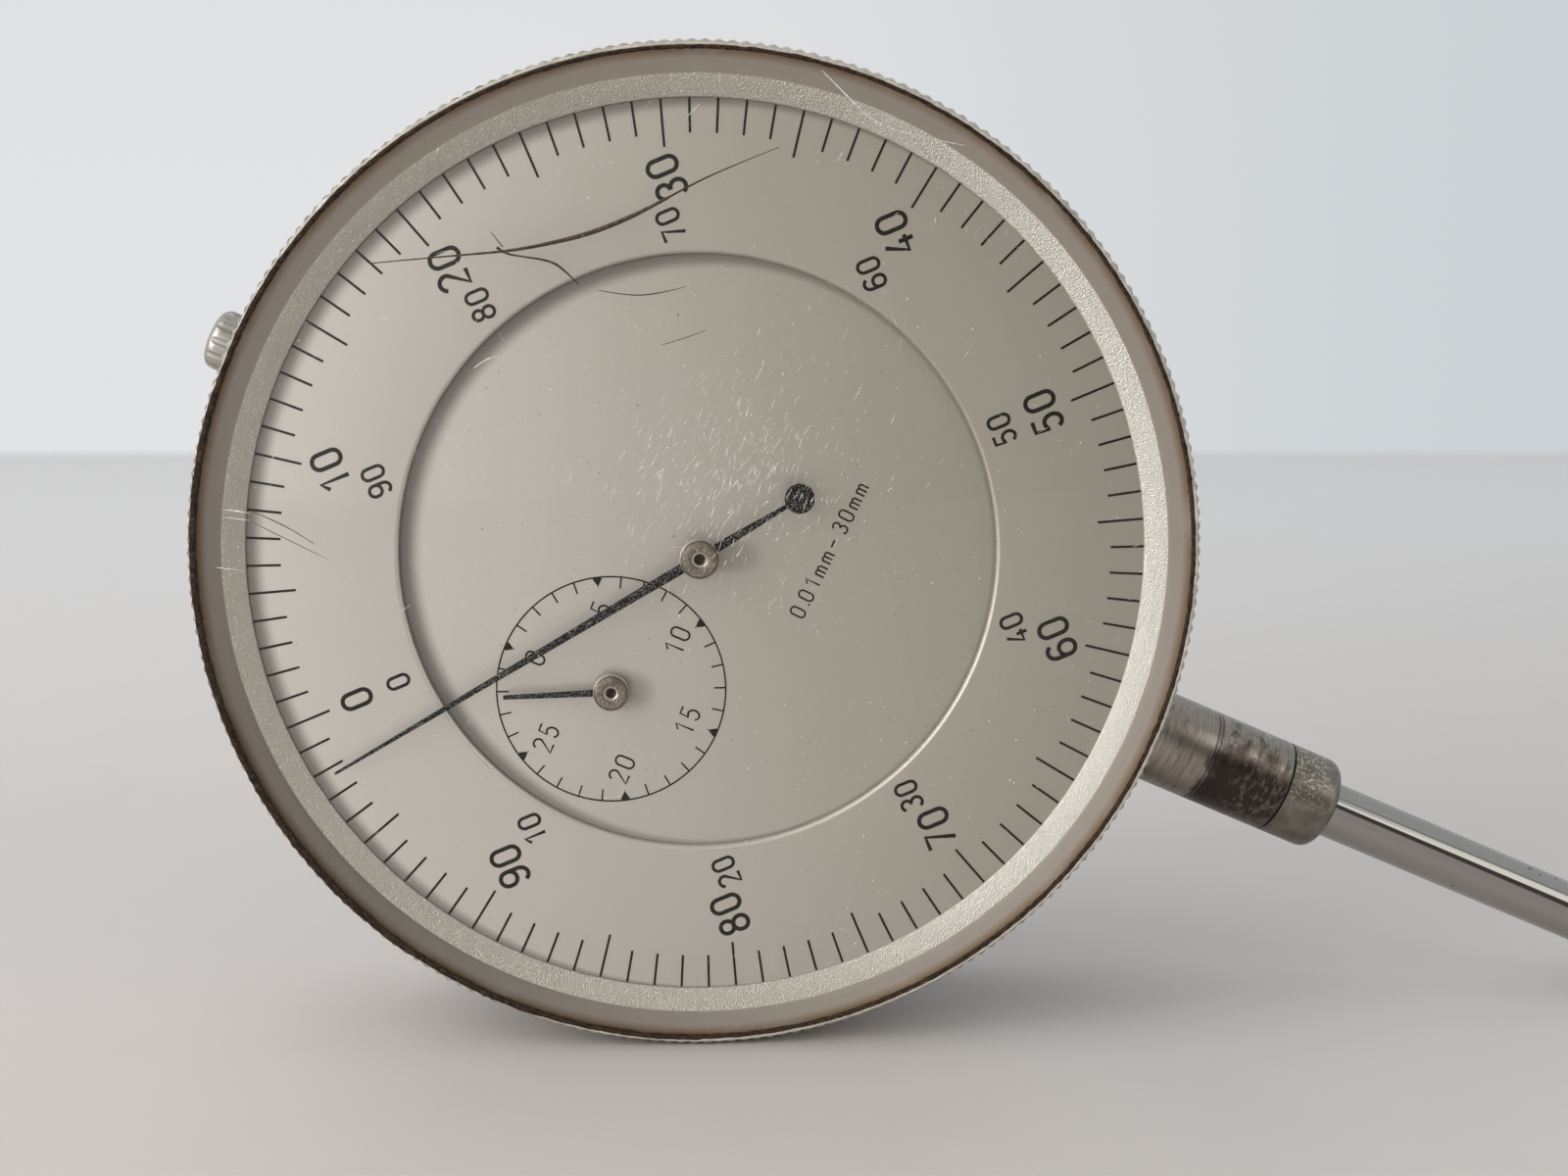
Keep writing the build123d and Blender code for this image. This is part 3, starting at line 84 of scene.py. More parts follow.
dialFront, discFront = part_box("scale_ring")[0].y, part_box("centre_dial")[0].y
dial = Vector((middleOf("bezel").x, dialFront, middleOf("bezel").z))  # on the printed face
counter = Vector((middleOf("counter_wheel").x, discFront, middleOf("counter_wheel").z))
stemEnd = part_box("stem")[0].z * toMillimetres
bezelOuter = radiusOf("bezel")


# How far a node's front and back lie behind a centre, in millimetres.
def depthsOf(node, centre=dial):
    low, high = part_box(node)
    return (low.y - centre.y) * toMillimetres, (high.y - centre.y) * toMillimetres


def setMode(mode):
    bpy.ops.object.mode_set(mode=mode)


def deselectAll():
    if bpy.context.object and bpy.context.object.mode != "OBJECT":
        setMode("OBJECT")
    bpy.ops.object.select_all(action="DESELECT")


def makeActive(piece):
    deselectAll()
    piece.select_set(True)
    bpy.context.view_layer.objects.active = piece


def applyPlace(piece):
    makeActive(piece)
    bpy.ops.object.transform_apply(location=True, rotation=True, scale=True)


def applyModifiers(piece):
    makeActive(piece)
    for modifier in list(piece.modifiers):
        bpy.ops.object.modifier_apply(modifier=modifier.name)


# Selects vertices in edit mode by a test of their place.
def selectPoints(piece, test):
    bpy.ops.mesh.select_mode(type="VERT")
    bpy.ops.mesh.select_all(action="DESELECT")
    shape = bmesh.from_edit_mesh(piece.data)
    for point in shape.verts:
        point.select = test(point.co)
    shape.select_flush(True)
    bmesh.update_edit_mesh(piece.data)


# Widens what is selected about an axis along Y.
def widen(share, centre=dial):
    bpy.ops.transform.resize(value=(share, 1, share), center_override=centre)


def narrow(share, centre):
    bpy.ops.transform.resize(value=(share, 1, 1), center_override=centre)


def joinPieces(pieces):
    deselectAll()
    for piece in pieces:
        piece.select_set(True)
    bpy.context.view_layer.objects.active = pieces[0]
    bpy.ops.object.join()
    return bpy.context.object


def turnAbout(centre, angle):
    turn = Matrix.Rotation(angle, 4, "Y")
    return Matrix.Translation(centre) @ turn @ Matrix.Translation(-centre)


# Copies of a piece round an axis along Y, each turned by the same angle.
def ringOf(piece, centre, count, step):
    bpy.ops.object.empty_add()
    guide = bpy.context.object
    guide.matrix_world = turnAbout(centre, step)
    array = piece.modifiers.new("round", "ARRAY")
    array.count = count
    array.use_relative_offset = False
    array.use_object_offset = True
    array.offset_object = guide
    bpy.context.view_layer.update()
    applyModifiers(piece)
    makeActive(guide)
    bpy.ops.object.delete()
    return piece


# Rounds edges sharper than an angle, or the edges that carry a weight.
def roundEdges(piece, width, angle=None):
    bevel = piece.modifiers.new("edges", "BEVEL")
    bevel.width = width * mm
    bevel.segments = 2
    bevel.limit_method = "ANGLE" if angle else "WEIGHT"
    if angle:
        bevel.angle_limit = radians(angle)
    applyModifiers(piece)


def finish(piece, name, body, slot, finishName, smooth, *replaces):
    piece.name = name
    piece.data.name = name
    piece.data.materials.clear()
    piece.data.materials.append(finishes[finishName])
    makeActive(piece)
    if smooth:
        bpy.ops.object.shade_smooth_by_angle(angle=radians(smooth))
    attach(piece, body)
    if replaces:
        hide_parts(*replaces)


# A block about its middle, with its size in millimetres.
def makeBlock(middle, size):
    deselectAll()
    bpy.ops.mesh.primitive_cube_add(size=1, location=middle, scale=[part * mm for part in size])
    piece = bpy.context.object
    applyPlace(piece)
    return piece


# A turned piece about an axis along Y. Each ring is (radius, depth) in millimetres, and the depth
# is measured back from the centre. A disc closes the first ring, and a radius of pole the last.
def turned(centre, rings, steps, disc=False):
    deselectAll()
    radius, depth = rings[0]
    bpy.ops.mesh.primitive_circle_add(
        vertices=steps,
        radius=radius * mm,
        fill_type="TRIFAN" if disc else "NOTHING",
        location=centre + Vector((0, depth * mm, 0)),
        rotation=(pi / 2, 0, 0),
    )
    piece = bpy.context.object
    applyPlace(piece)
    setMode("EDIT")
    selectPoints(piece, lambda co: hypot(co.x - centre.x, co.z - centre.z) > radius * mm * 0.5)
    if disc:
        bpy.ops.mesh.select_mode(type="EDGE")
    else:
        bpy.ops.mesh.select_all(action="SELECT")
    for (radius, depth), (nextRadius, nextDepth) in zip(rings, rings[1:]):
        step = (0, (nextDepth - depth) * mm, 0)
        bpy.ops.mesh.extrude_edges_move(TRANSFORM_OT_translate={"value": step})
        widen(nextRadius / radius, centre)
    bpy.ops.mesh.select_all(action="SELECT")
    bpy.ops.mesh.remove_doubles(threshold=sliver)
    bpy.ops.mesh.normals_make_consistent(inside=False)
    setMode("OBJECT")
    return piece


# A copy of a CAD node with its triangles merged, flat faces cleaned and sharp edges rounded.
def softened(node, width):
    makeActive(nodes[node])
    bpy.ops.object.duplicate()
    piece = bpy.context.object
    piece.parent = None
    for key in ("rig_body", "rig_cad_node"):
        if key in piece:
            del piece[key]
    makeActive(piece)
    setMode("EDIT")
    bpy.ops.mesh.select_all(action="SELECT")
    bpy.ops.mesh.remove_doubles(threshold=sliver)
    bpy.ops.mesh.dissolve_limited(angle_limit=radians(0.6))
    setMode("OBJECT")
    if width:
        roundEdges(piece, width, 40)
    return piece


# The tools below add nodes to the tree that was begun last.
current = {}


def beginTree(owner):
    owner.use_nodes = True
    current["tree"] = owner.node_tree
    return owner.node_tree


def newMaterial(name):
    made = bpy.data.materials.new(name)
    beginTree(made)
    return made


# Colours are given as three parts, and sockets take four.
def colourOf(value):
    return (*value, 1) if isinstance(value, tuple) and len(value) == 3 else value


def plug(socket, value):
    if isinstance(value, bpy.types.NodeSocket):
        current["tree"].links.new(value, socket)
    else:
        socket.default_value = value


def addNode(kind, inputs=None, **settings):
    made = current["tree"].nodes.new(kind)
    for key, value in settings.items():
        setattr(made, key, value)
    for key, value in (inputs or {}).items():
        plug(made.inputs[key], value)
    return made


# Object coordinates in millimetres about a centre, stretched along each axis.
def places(centre=origin, stretch=(1, 1, 1)):
    scale = [toMillimetres * share for share in stretch]
    inputs = {
        "Vector": addNode("ShaderNodeTexCoord").outputs["Object"],
        "Scale": scale,
        "Location": [-part * share for part, share in zip(centre, scale)],
    }
    return addNode("ShaderNodeMapping", inputs).outputs[0]


# Cloudy noise, with its scale in patches per millimetre.
def grain(where, scale, detail, roughness, distortion=0.0):
    inputs = {"Vector": where, "Scale": scale, "Detail": detail, "Roughness": roughness}
    return addNode("ShaderNodeTexNoise", {**inputs, "Distortion": distortion}).outputs[0]


def calc(operation, first, second=0.0):
    return addNode("ShaderNodeMath", {0: first, 1: second}, operation=operation).outputs[0]


def chained(operation, total, *parts):
    for part in parts:
        total = calc(operation, total, part)
    return total


def times(*parts):
    return chained("MULTIPLY", *parts)


def plus(*parts):
    return chained("ADD", *parts)


def most(*parts):
    return chained("MAXIMUM", *parts)


def minus(first, second):
    return calc("SUBTRACT", first, second)


def inverse(share):
    return minus(1.0, share)


# From 0 at low to 1 at high, smoothly.
def fade(value, low, high):
    inputs = {"Value": value, "From Min": low, "From Max": high}
    return addNode("ShaderNodeMapRange", inputs, interpolation_type="SMOOTHSTEP").outputs[0]


def tint(share, low, high):
    inputs = {0: share, 6: colourOf(low), 7: colourOf(high)}
    return addNode("ShaderNodeMix", inputs, data_type="RGBA").outputs[2]


def between(share, low, high):
    return addNode("ShaderNodeMix", {0: share, 2: low, 3: high}).outputs[0]


def relief(height, depth):
    return addNode("ShaderNodeBump", {"Height": height, "Distance": depth * mm, "Strength": 1.0}).outputs[0]


# How far a place lies towards a side.
def along(where, side):
    inputs = {0: where, 1: side}
    return addNode("ShaderNodeVectorMath", inputs, operation="DOT_PRODUCT").outputs["Value"]


# How far from the axis along Y, in millimetres.
def radiusFrom(where):
    inputs = {0: where, 1: (1, 0, 1)}
    flat = addNode("ShaderNodeVectorMath", inputs, operation="MULTIPLY").outputs[0]
    return addNode("ShaderNodeVectorMath", {0: flat}, operation="LENGTH").outputs["Value"]


def partOf(where, axis):
    return addNode("ShaderNodeSeparateXYZ", {0: where}).outputs[axis]


socketNames = {
    "colour": "Base Color",
    "metal": "Metallic",
    "rough": "Roughness",
    "normal": "Normal",
    "ior": "IOR",
    "clear": "Transmission Weight",
    "specular": "Specular IOR Level",
}


def feed(made, **sockets):
    shader = made.node_tree.nodes["Principled BSDF"]
    for name, value in sockets.items():
        plug(shader.inputs[socketNames[name]], colourOf(value))
    return made


# Mixes a see-through surface with a material's own, by share.
def mixClear(made, share, colour, clearFirst):
    parts = [made.node_tree.nodes["Principled BSDF"], addNode("ShaderNodeBsdfTransparent", {0: colour})]
    first, second = reversed(parts) if clearFirst else parts
    mixed = addNode("ShaderNodeMixShader", {0: share, 1: first.outputs[0], 2: second.outputs[0]})
    plug(made.node_tree.nodes["Material Output"].inputs["Surface"], mixed.outputs[0])
    return made


# A worn metal: fine lines along one axis or round a centre, blotches and specks.
def wornMetal(
    name, colour, rough, stretch=(1, 1, 1), lines=6.0, lineDepth=0.002, blotch=0.25,
    dirt=(0.2, 0.17, 0.13), dirtShare=0.3,
):
    made = newMaterial(name)
    plain = places()
    brushed = grain(places(origin, stretch), lines, 5.0, 0.65)
    patches = grain(plain, blotch, 5.0, 0.6)
    specks = grain(plain, 2.6, 3.0, 0.7)
    worn = tint(fade(brushed, 0.35, 0.7), colour, tuple(1.15 * part for part in colour))
    stained = times(fade(patches, 0.5, 0.72), dirtShare)
    spotted = times(fade(specks, 0.66, 0.72), dirtShare)
    return feed(
        made,
        colour=tint(most(stained, spotted), worn, dirt),
        metal=1.0,
        rough=between(fade(patches, 0.3, 0.75), rough * 0.8, rough * 1.35),
        normal=relief(brushed, lineDepth),
    )


dialSettings = {
    "colour": (0.665, 0.640, 0.620),
    # painted shade: the next colour is what the dial darkens to on the side away from the lamps, the side
    # given after it
    "shadedTone": (0.425, 0.395, 0.345),
    "shadedSide": (0.675, 0, -0.738),
    "lively": (0.95, 0.94, 0.92),
    "dust": (1, 1, 0.97),
    "dustShift": Vector((0.1, 0, 0)),
    "speck": (0.10, 0.085, 0.07),
    "rough": 0.42,
    "metal": 0.75,
    # painted shadow: its colour, the side where it reaches furthest, and how dark it gets there
    "dimmed": (0.150, 0.134, 0.128),
    "shadowSide": (-0.11, 0, 0.99),
    "shadowShare": (0.30, 0.84),
    "discEdge": (23.8, 0.35, 1.9),  # the radius it runs under, and the painted shadow band's reach from there
    "ringEdge": (35.8, 0.15, 1.7),
    "right": (0.393, 0, -0.920),
    "down": (-0.920, 0, -0.393),
    "hubShades": [(dial, 2.5, 2.7, 1.5, 0.34), (counter, 1.3, 2.2, 1.7, 0.36)],
}


# Painted shadow: how much darker the dial is painted where it runs under an edge, most of all on one side,
# in place of the edge's cast shadow.
def dullNear(where, edge, short, long):
    side = fade(along(where, dialSettings["shadowSide"]), -0.55 * edge, 0.85 * edge)
    reach = between(side, short, long)
    share = between(side, *dialSettings["shadowShare"])
    within = calc("DIVIDE", minus(radiusFrom(where), minus(edge, reach)), reach)
    near = calc("MINIMUM", most(within, 0.0), 1.0)
    return times(fade(near, 0.0, 0.75), share)


# A soft painted shadow beside a hub, off to its right, longer across than down.
def hubShade(centre, aside, wide, high, share):
    where = places(centre)
    squares = []
    for side, shift, size in (("right", aside, wide), ("down", 0.0, high)):
        away = calc("DIVIDE", minus(along(where, dialSettings[side]), shift), size)
        squares.append(calc("POWER", calc("ABSOLUTE", away), 2.0))
    return times(fade(plus(*squares), 1.3, 0.0), share)


def dialMaterial(name, edge):
    look = dialSettings
    made = newMaterial(name)
    where = places(dial)
    fine = grain(where, 14.0, 3.0, 0.7)
    wide = grain(where, 0.05, 3.0, 0.5)
    specks = grain(where, 2.6, 2.0, 0.6)
    dust = grain(places(dial + look["dustShift"]), 3.4, 2.0, 0.6)
    # Painted shade: the dial is painted darker towards the side away from the lamps, with a wide random tone
    # on top.
    shadedTone = plus(fade(along(where, look["shadedSide"]), -36.0, 36.0), times(wide, 0.3))
    colour = tint(minus(shadedTone, 0.15), look["colour"], look["shadedTone"])
    colour = tint(times(fine, 0.16), colour, look["lively"])
    colour = tint(times(fade(dust, 0.73, 0.76), 0.7), colour, look["dust"])
    colour = tint(times(fade(specks, 0.735, 0.76), 0.75), colour, look["speck"])
    # painted shadows under the edge and beside the hubs
    paintedShadows = most(dullNear(where, *edge), *[hubShade(*shade) for shade in look["hubShades"]])
    return feed(
        made,
        colour=tint(paintedShadows, colour, look["dimmed"]),
        metal=look["metal"],
        rough=between(wide, look["rough"] - 0.06, look["rough"] + 0.08),
        normal=relief(fine, 0.004),
    )


inkSettings = {"dark": (0.011, 0.010, 0.009), "light": (0.048, 0.044, 0.040)}


def inkMaterial():
    made = newMaterial("printedInk")
    mottle = grain(places(dial), 5.0, 4.0, 0.7)
    colour = tint(fade(mottle, 0.45, 0.8), inkSettings["dark"], inkSettings["light"])
    return feed(made, colour=colour, rough=0.6, specular=0.2)


flangeSettings = {
    "blasted": (0.50, 0.475, 0.44),
    "paintedLight": (0.70, 0.685, 0.665),
    "paintedLightSide": (0.393, 0.0, -0.92),  # where the blasted face is painted lightest, a painted highlight where its slope faces the lamps
    "sparkle": (1, 1, 0.98),
    "spun": (0.385, 0.350, 0.320),
    "rusty": (0.22, 0.15, 0.095),
    "ridge": 37.45,
    "rustFrom": 38.4,
    "rustTo": 39.25,
}


def flangeMaterial():
    look = flangeSettings
    made = newMaterial("blastedAndSpunFlange")
    where = places(dial)
    radius = radiusFrom(where)
    outer = fade(radius, look["ridge"] - 0.06, look["ridge"] + 0.06)
    grit = grain(where, 7.5, 2.0, 0.6)
    sparkle = fade(grain(where, 6.5, 2.0, 0.5), 0.60, 0.67)
    # Painted highlight: the blasted face is painted lighter towards one side, where its slope faces the
    # lamps.
    paintedLightShare = fade(along(where, look["paintedLightSide"]), 4.0, 34.0)
    blasted = tint(paintedLightShare, look["blasted"], look["paintedLight"])
    # painted glints: near-white specks stand in for the blasted face's sparkle
    blasted = tint(times(sparkle, 0.40), blasted, look["sparkle"])
    patchy = fade(grain(where, 0.2, 4.0, 0.6), 0.10, 0.55)
    rust = times(fade(radius, look["rustFrom"], look["rustTo"]), patchy)
    return feed(
        made,
        colour=tint(outer, blasted, tint(rust, look["spun"], look["rusty"])),
        metal=0.85,
        rough=between(outer, 0.34, 0.30),
        normal=relief(times(minus(grit, 0.5), inverse(outer)), 0.10),
    )


bezelSettings = {
    "colour": (0.70, 0.65, 0.56),
    "bright": (0.88, 0.84, 0.75),
    "grime": (0.022, 0.014, 0.010),
    "rust": (0.085, 0.046, 0.024),
    "rough": 0.30,
    "dirtySide": (-0.11, 0.0, 0.99),
    "grooves": (39.70, 39.78),
    "tips": (39.83, 39.93),
    "lip": (39.34, 39.48),
    "worn": (39.80, 39.92),
}


def bezelMaterial():
    look = bezelSettings
    made = newMaterial("dirtyKnurledNickel")
    where = places(dial)
    radius = radiusFrom(where)
    blotches = grain(where, 0.55, 5.0, 0.65)
    crumbs = grain(where, 4.5, 4.0, 0.7)
    inGrooves = times(inverse(fade(radius, *look["tips"])), fade(radius, *look["grooves"]))
    dirtier = fade(along(where, look["dirtySide"]), 2.0, 28.0)
    packed = times(inGrooves, fade(blotches, 0.30, 0.62), between(dirtier, 0.40, 1.0))
    lip = inverse(fade(minus(radius, times(dirtier, 0.12)), *look["lip"]))
    worn = times(fade(radius, *look["worn"]), fade(crumbs, 0.36, 0.50))
    crept = times(lip, fade(crumbs, 0.22, 0.50), inverse(worn))
    patches = times(fade(crumbs, 0.55, 0.68), fade(blotches, 0.42, 0.66))
    dirt = most(packed, crept, patches)
    colour = tint(fade(crumbs, 0.35, 0.7), look["colour"], look["bright"])
    return feed(
        made,
        colour=tint(dirt, colour, tint(fade(blotches, 0.4, 0.7), look["grime"], look["rust"])),
        metal=between(dirt, 1.0, 0.15),
        rough=between(dirt, look["rough"], 0.78),
        normal=relief(crumbs, 0.035),
    )


def grimeMaterial():
    made = newMaterial("packedGrime")
    crumbs = grain(places(dial), 3.2, 5.0, 0.7)
    colour = tint(fade(crumbs, 0.4, 0.72), (0.012, 0.008, 0.006), (0.085, 0.045, 0.022))
    return feed(made, colour=colour, rough=0.85, specular=0.25, normal=relief(crumbs, 0.08))


crystalSettings = {
    "tint": (0.985, 0.98, 0.965),
    "gloss": (0.95, 0.95, 0.95),
    "ior": 1.21,
    "polish": 0.02,
    "haze": 0.16,
    "shoulder": 34.6,
    "shoulderWidth": 1.2,
    "dimmed": 0.10,
}


# Clear plastic of even wall, so it hardly bends what is behind it, with fine rubs in its gloss.
def crystalMaterial():
    look = crystalSettings
    made = newMaterial("scratchedAcrylic")
    where = places(dial)
    rubs = grain(places(dial, (1.6, 1, 0.16)), 1.1, 4.0, 0.6, 0.3)
    cross = grain(places(dial, (0.2, 1, 1.8)), 1.0, 4.0, 0.6, 0.3)
    wear = most(fade(rubs, 0.62, 0.75), fade(cross, 0.64, 0.76))
    wavy = relief(grain(where, 0.12, 2.0, 0.4), 0.05)
    rough = between(wear, look["polish"], look["haze"])
    feed(made, colour=look["gloss"], metal=1.0, rough=rough, normal=wavy)
    scuffed = fade(radiusFrom(where), look["shoulder"], look["shoulder"] + look["shoulderWidth"])
    # rays aren't bent at the faces, so the way out mirrors as little as the way in
    leaving = addNode("ShaderNodeNewGeometry").outputs["Backfacing"]
    index = between(leaving, look["ior"], 1 / look["ior"])
    mirrored = addNode("ShaderNodeFresnel", {"IOR": index, "Normal": wavy}).outputs[0]
    mirrored = times(mirrored, between(scuffed, 1.0, look["dimmed"]))
    return mixClear(made, mirrored, colourOf(look["tint"]), True)


def crackMaterial(name, dark, light, metal=0.0):
    made = newMaterial(name)
    patches = grain(places(dial), 3.2, 4.0, 0.75)
    colour = tint(fade(patches, 0.42, 0.62), dark, light)
    return feed(made, colour=colour, metal=metal, rough=0.55, specular=0.3)


handSettings = {
    "colour": (0.002, 0.002, 0.004),
    "blue": (0.007, 0.007, 0.011),
    "fleck": (0.36, 0.35, 0.33),
}


def handMaterial():
    look = handSettings
    made = newMaterial("blackishBlueSteel")
    flecks = fade(grain(places(dial, (1.3, 1, 0.8)), 6.5, 3.0, 0.8), 0.53, 0.59)
    hue = grain(places(dial), 0.8, 2.0, 0.5)
    base = tint(fade(hue, 0.4, 0.7), look["colour"], look["blue"])
    return feed(
        made,
        colour=tint(times(flecks, 0.55), base, look["fleck"]),
        metal=0.0,
        specular=0.12,
        rough=between(hue, 0.45, 0.65),
        normal=relief(hue, 0.01),
    )


hubSettings = {
    "colour": (0.27, 0.235, 0.20),
    "brown": (0.13, 0.10, 0.075),
    "bright": (0.58, 0.55, 0.50),
    "hollow": (0.04, 0.03, 0.025),
    "across": 2.9,  # the hub that the radii below are for
}


# Nickel faced on a lathe, with rings about its own axis.
def facedNickel(name, centre, across):
    look = hubSettings
    made = newMaterial(name)
    where = places(centre)
    radius = times(radiusFrom(where), look["across"] / across)
    rings = calc("SINE", times(radius, 60.0))
    stain = grain(where, 1.6, 4.0, 0.65)
    scores = grain(places(centre, (6.0, 1.0, 0.8)), 1.3, 3.0, 0.6)
    dings = fade(grain(places(centre, (1.0, 1.0, 2.2)), 3.6, 4.0, 0.8), 0.49, 0.57)
    collar = times(fade(radius, 0.42, 0.46), fade(radius, 0.60, 0.54))
    edge = times(fade(radius, 1.22, 1.30), fade(radius, 1.42, 1.34))
    bright = times(most(collar, fade(radius, 1.36, 1.42), times(dings, 0.55)), inverse(edge))
    brown = most(times(fade(stain, 0.35, 0.65), 0.6), edge)
    colour = tint(bright, tint(brown, look["colour"], look["brown"]), look["bright"])
    return feed(
        made,
        # painted shade: the drilled centre is painted near black
        colour=tint(fade(radius, 0.44, 0.38), colour, look["hollow"]),
        metal=1.0,
        rough=between(stain, 0.20, 0.42),
        normal=relief(plus(rings, times(scores, 2.0)), 0.003),
    )


stemSettings = {
    "steel": (0.235, 0.205, 0.17),
    "bright": (0.42, 0.375, 0.32),
    "stain": (0.030, 0.019, 0.017),
    "smudge": (0.110, 0.083, 0.070),
    "fleck": (0.28, 0.25, 0.19),
    "groove": (0.012, 0.010, 0.009),
    "stainTop": 1.8,
    "stainDeep": 2.6,
    "stainSide": (3.0, -0.4),
    "fleckFrom": (-1.0, -3.6),
    "jointHalf": 0.09,
    "rings": (0.45, 0.10),
    "ringHalf": 0.07,
}


# A thin mark all round, at a height along the stem.
def ringMark(height, at, half):
    return fade(calc("ABSOLUTE", minus(height, at)), 1.8 * half, 0.6 * half)


# Ground steel with lines round it, and a dark stain on its lower front.
def stemMaterial():
    look = stemSettings
    made = newMaterial("stainedGroundSteel")
    where = places()
    lines = grain(places(origin, (0.3, 0.3, 4.5)), 1.2, 5.0, 0.75)
    streaks = grain(places(origin, (0.5, 0.5, 2.2)), 0.9, 5.0, 0.7)
    blotches = grain(where, 0.6, 6.0, 0.7)
    flecks = grain(places(origin, (0.8, 0.8, 1.6)), 1.5, 5.0, 0.8)
    height = partOf(where, "Z")
    low = fade(height, look["stainTop"], look["stainTop"] - look["stainDeep"])
    side = fade(partOf(where, "X"), *look["stainSide"])
    reach = times(low, plus(times(side, 0.72), 0.42))
    uneven = plus(times(blotches, 1.3), times(streaks, 0.9))
    cover = plus(reach, minus(uneven, 1.1))
    covered = fade(cover, 0.35, 0.62)
    bare = tint(fade(lines, 0.28, 0.76), look["steel"], look["bright"])
    bare = tint(times(fade(streaks, 0.50, 0.72), 0.60), bare, look["smudge"])
    film = tint(fade(cover, 0.95, 0.55), look["stain"], look["smudge"])
    pale = times(fade(flecks, 0.48, 0.62), times(fade(height, *look["fleckFrom"]), 0.5))
    colour = tint(pale, tint(covered, bare, film), look["fleck"])
    marks = [times(ringMark(height, at, look["ringHalf"]), 0.6) for at in look["rings"]]
    grooves = most(ringMark(height, stemEnd, look["jointHalf"]), *marks)
    return feed(
        made,
        colour=tint(grooves, colour, look["groove"]),
        metal=between(covered, 1.0, 0.55),
        rough=between(flecks, 0.20, 0.42),
        normal=relief(plus(lines, blotches), 0.006),
    )


ferruleSettings = {
    "grey": (0.155, 0.140, 0.115),
    "light": (0.24, 0.218, 0.185),
    "fleck": (0.70, 0.67, 0.54),
    "fleckHalf": 1.5,
}


def ferruleMaterial():
    look = ferruleSettings
    made = newMaterial("satinNickelFerrule")
    where = places()
    clouds = grain(where, 0.8, 5.0, 0.65)
    flecks = grain(where, 3.6, 4.0, 0.8)
    height = partOf(where, "Z")
    band = ringMark(height, stemEnd - look["fleckHalf"], look["fleckHalf"])
    side = fade(partOf(where, "X"), -1.0, 1.5)
    pale = times(band, side, fade(flecks, 0.50, 0.62))
    grey = tint(fade(clouds, 0.35, 0.68), look["grey"], look["light"])
    colour = tint(times(pale, 0.8), grey, look["fleck"])
    joint = ringMark(height, stemEnd, stemSettings["jointHalf"])
    return feed(
        made,
        colour=tint(joint, colour, stemSettings["groove"]),
        metal=0.9,
        rough=between(clouds, 0.26, 0.44),
        normal=relief(plus(clouds, flecks), 0.012),
    )


spindleSettings = {"steel": (0.385, 0.370, 0.345), "pit": (0.06, 0.05, 0.045)}


def spindleMaterial():
    made = newMaterial("polishedPittedSteel")
    pits = fade(grain(places(), 0.75, 3.0, 0.6), 0.70, 0.75)
    drawn = grain(places(origin, (3.0, 3.0, 0.05)), 1.0, 3.0, 0.6)
    return feed(
        made,
        colour=tint(pits, spindleSettings["steel"], spindleSettings["pit"]),
        metal=1.0,
        rough=between(pits, 0.085, 0.45),
        normal=relief(minus(times(drawn, 0.06), pits), 0.012),
    )


# Cut brass in the movement, with fine grain along X.
def grainedBrass(name, colour):
    tarnish = (0.30, 0.20, 0.09)
    return wornMetal(name, colour, 0.28, (0.15, 1, 3.5), lines=2.2, dirt=tarnish, dirtShare=0.25)


def jewelMaterial():
    made = newMaterial("rubyJewel")
    colour = tint(grain(places(), 1.5, 2.0, 0.5), (0.42, 0.01, 0.05), (0.70, 0.04, 0.12))
    return feed(made, colour=colour, rough=0.06, ior=1.76, clear=0.5)


plateSettings = {"stain": (0.26, 0.23, 0.185), "scuff": (0.85, 0.84, 0.82), "bright": 1.28}


# Satin plate turned about the dial's axis, with rings too fine to see one by one.
def turnedPlate(name, colour, rough):
    look = plateSettings
    made = newMaterial(name)
    where = places(dial)
    outward = addNode("ShaderNodeCombineXYZ", {0: times(radiusFrom(where), 3.5)}).outputs[0]
    rings = grain(outward, 1.0, 4.0, 0.7)
    blotches = grain(where, 0.16, 5.0, 0.6)
    scuffs = fade(grain(places(dial, (0.4, 1, 1.5)), 1.4, 4.0, 0.65), 0.62, 0.7)
    base = tint(fade(rings, 0.3, 0.7), colour, tuple(look["bright"] * part for part in colour))
    stained = tint(times(fade(blotches, 0.50, 0.78), 0.30), base, look["stain"])
    return feed(
        made,
        colour=tint(times(scuffs, 0.3), stained, look["scuff"]),
        metal=1.0,
        rough=between(fade(blotches, 0.3, 0.75), rough * 0.85, rough * 1.3),
        normal=relief(rings, 0.004),
    )


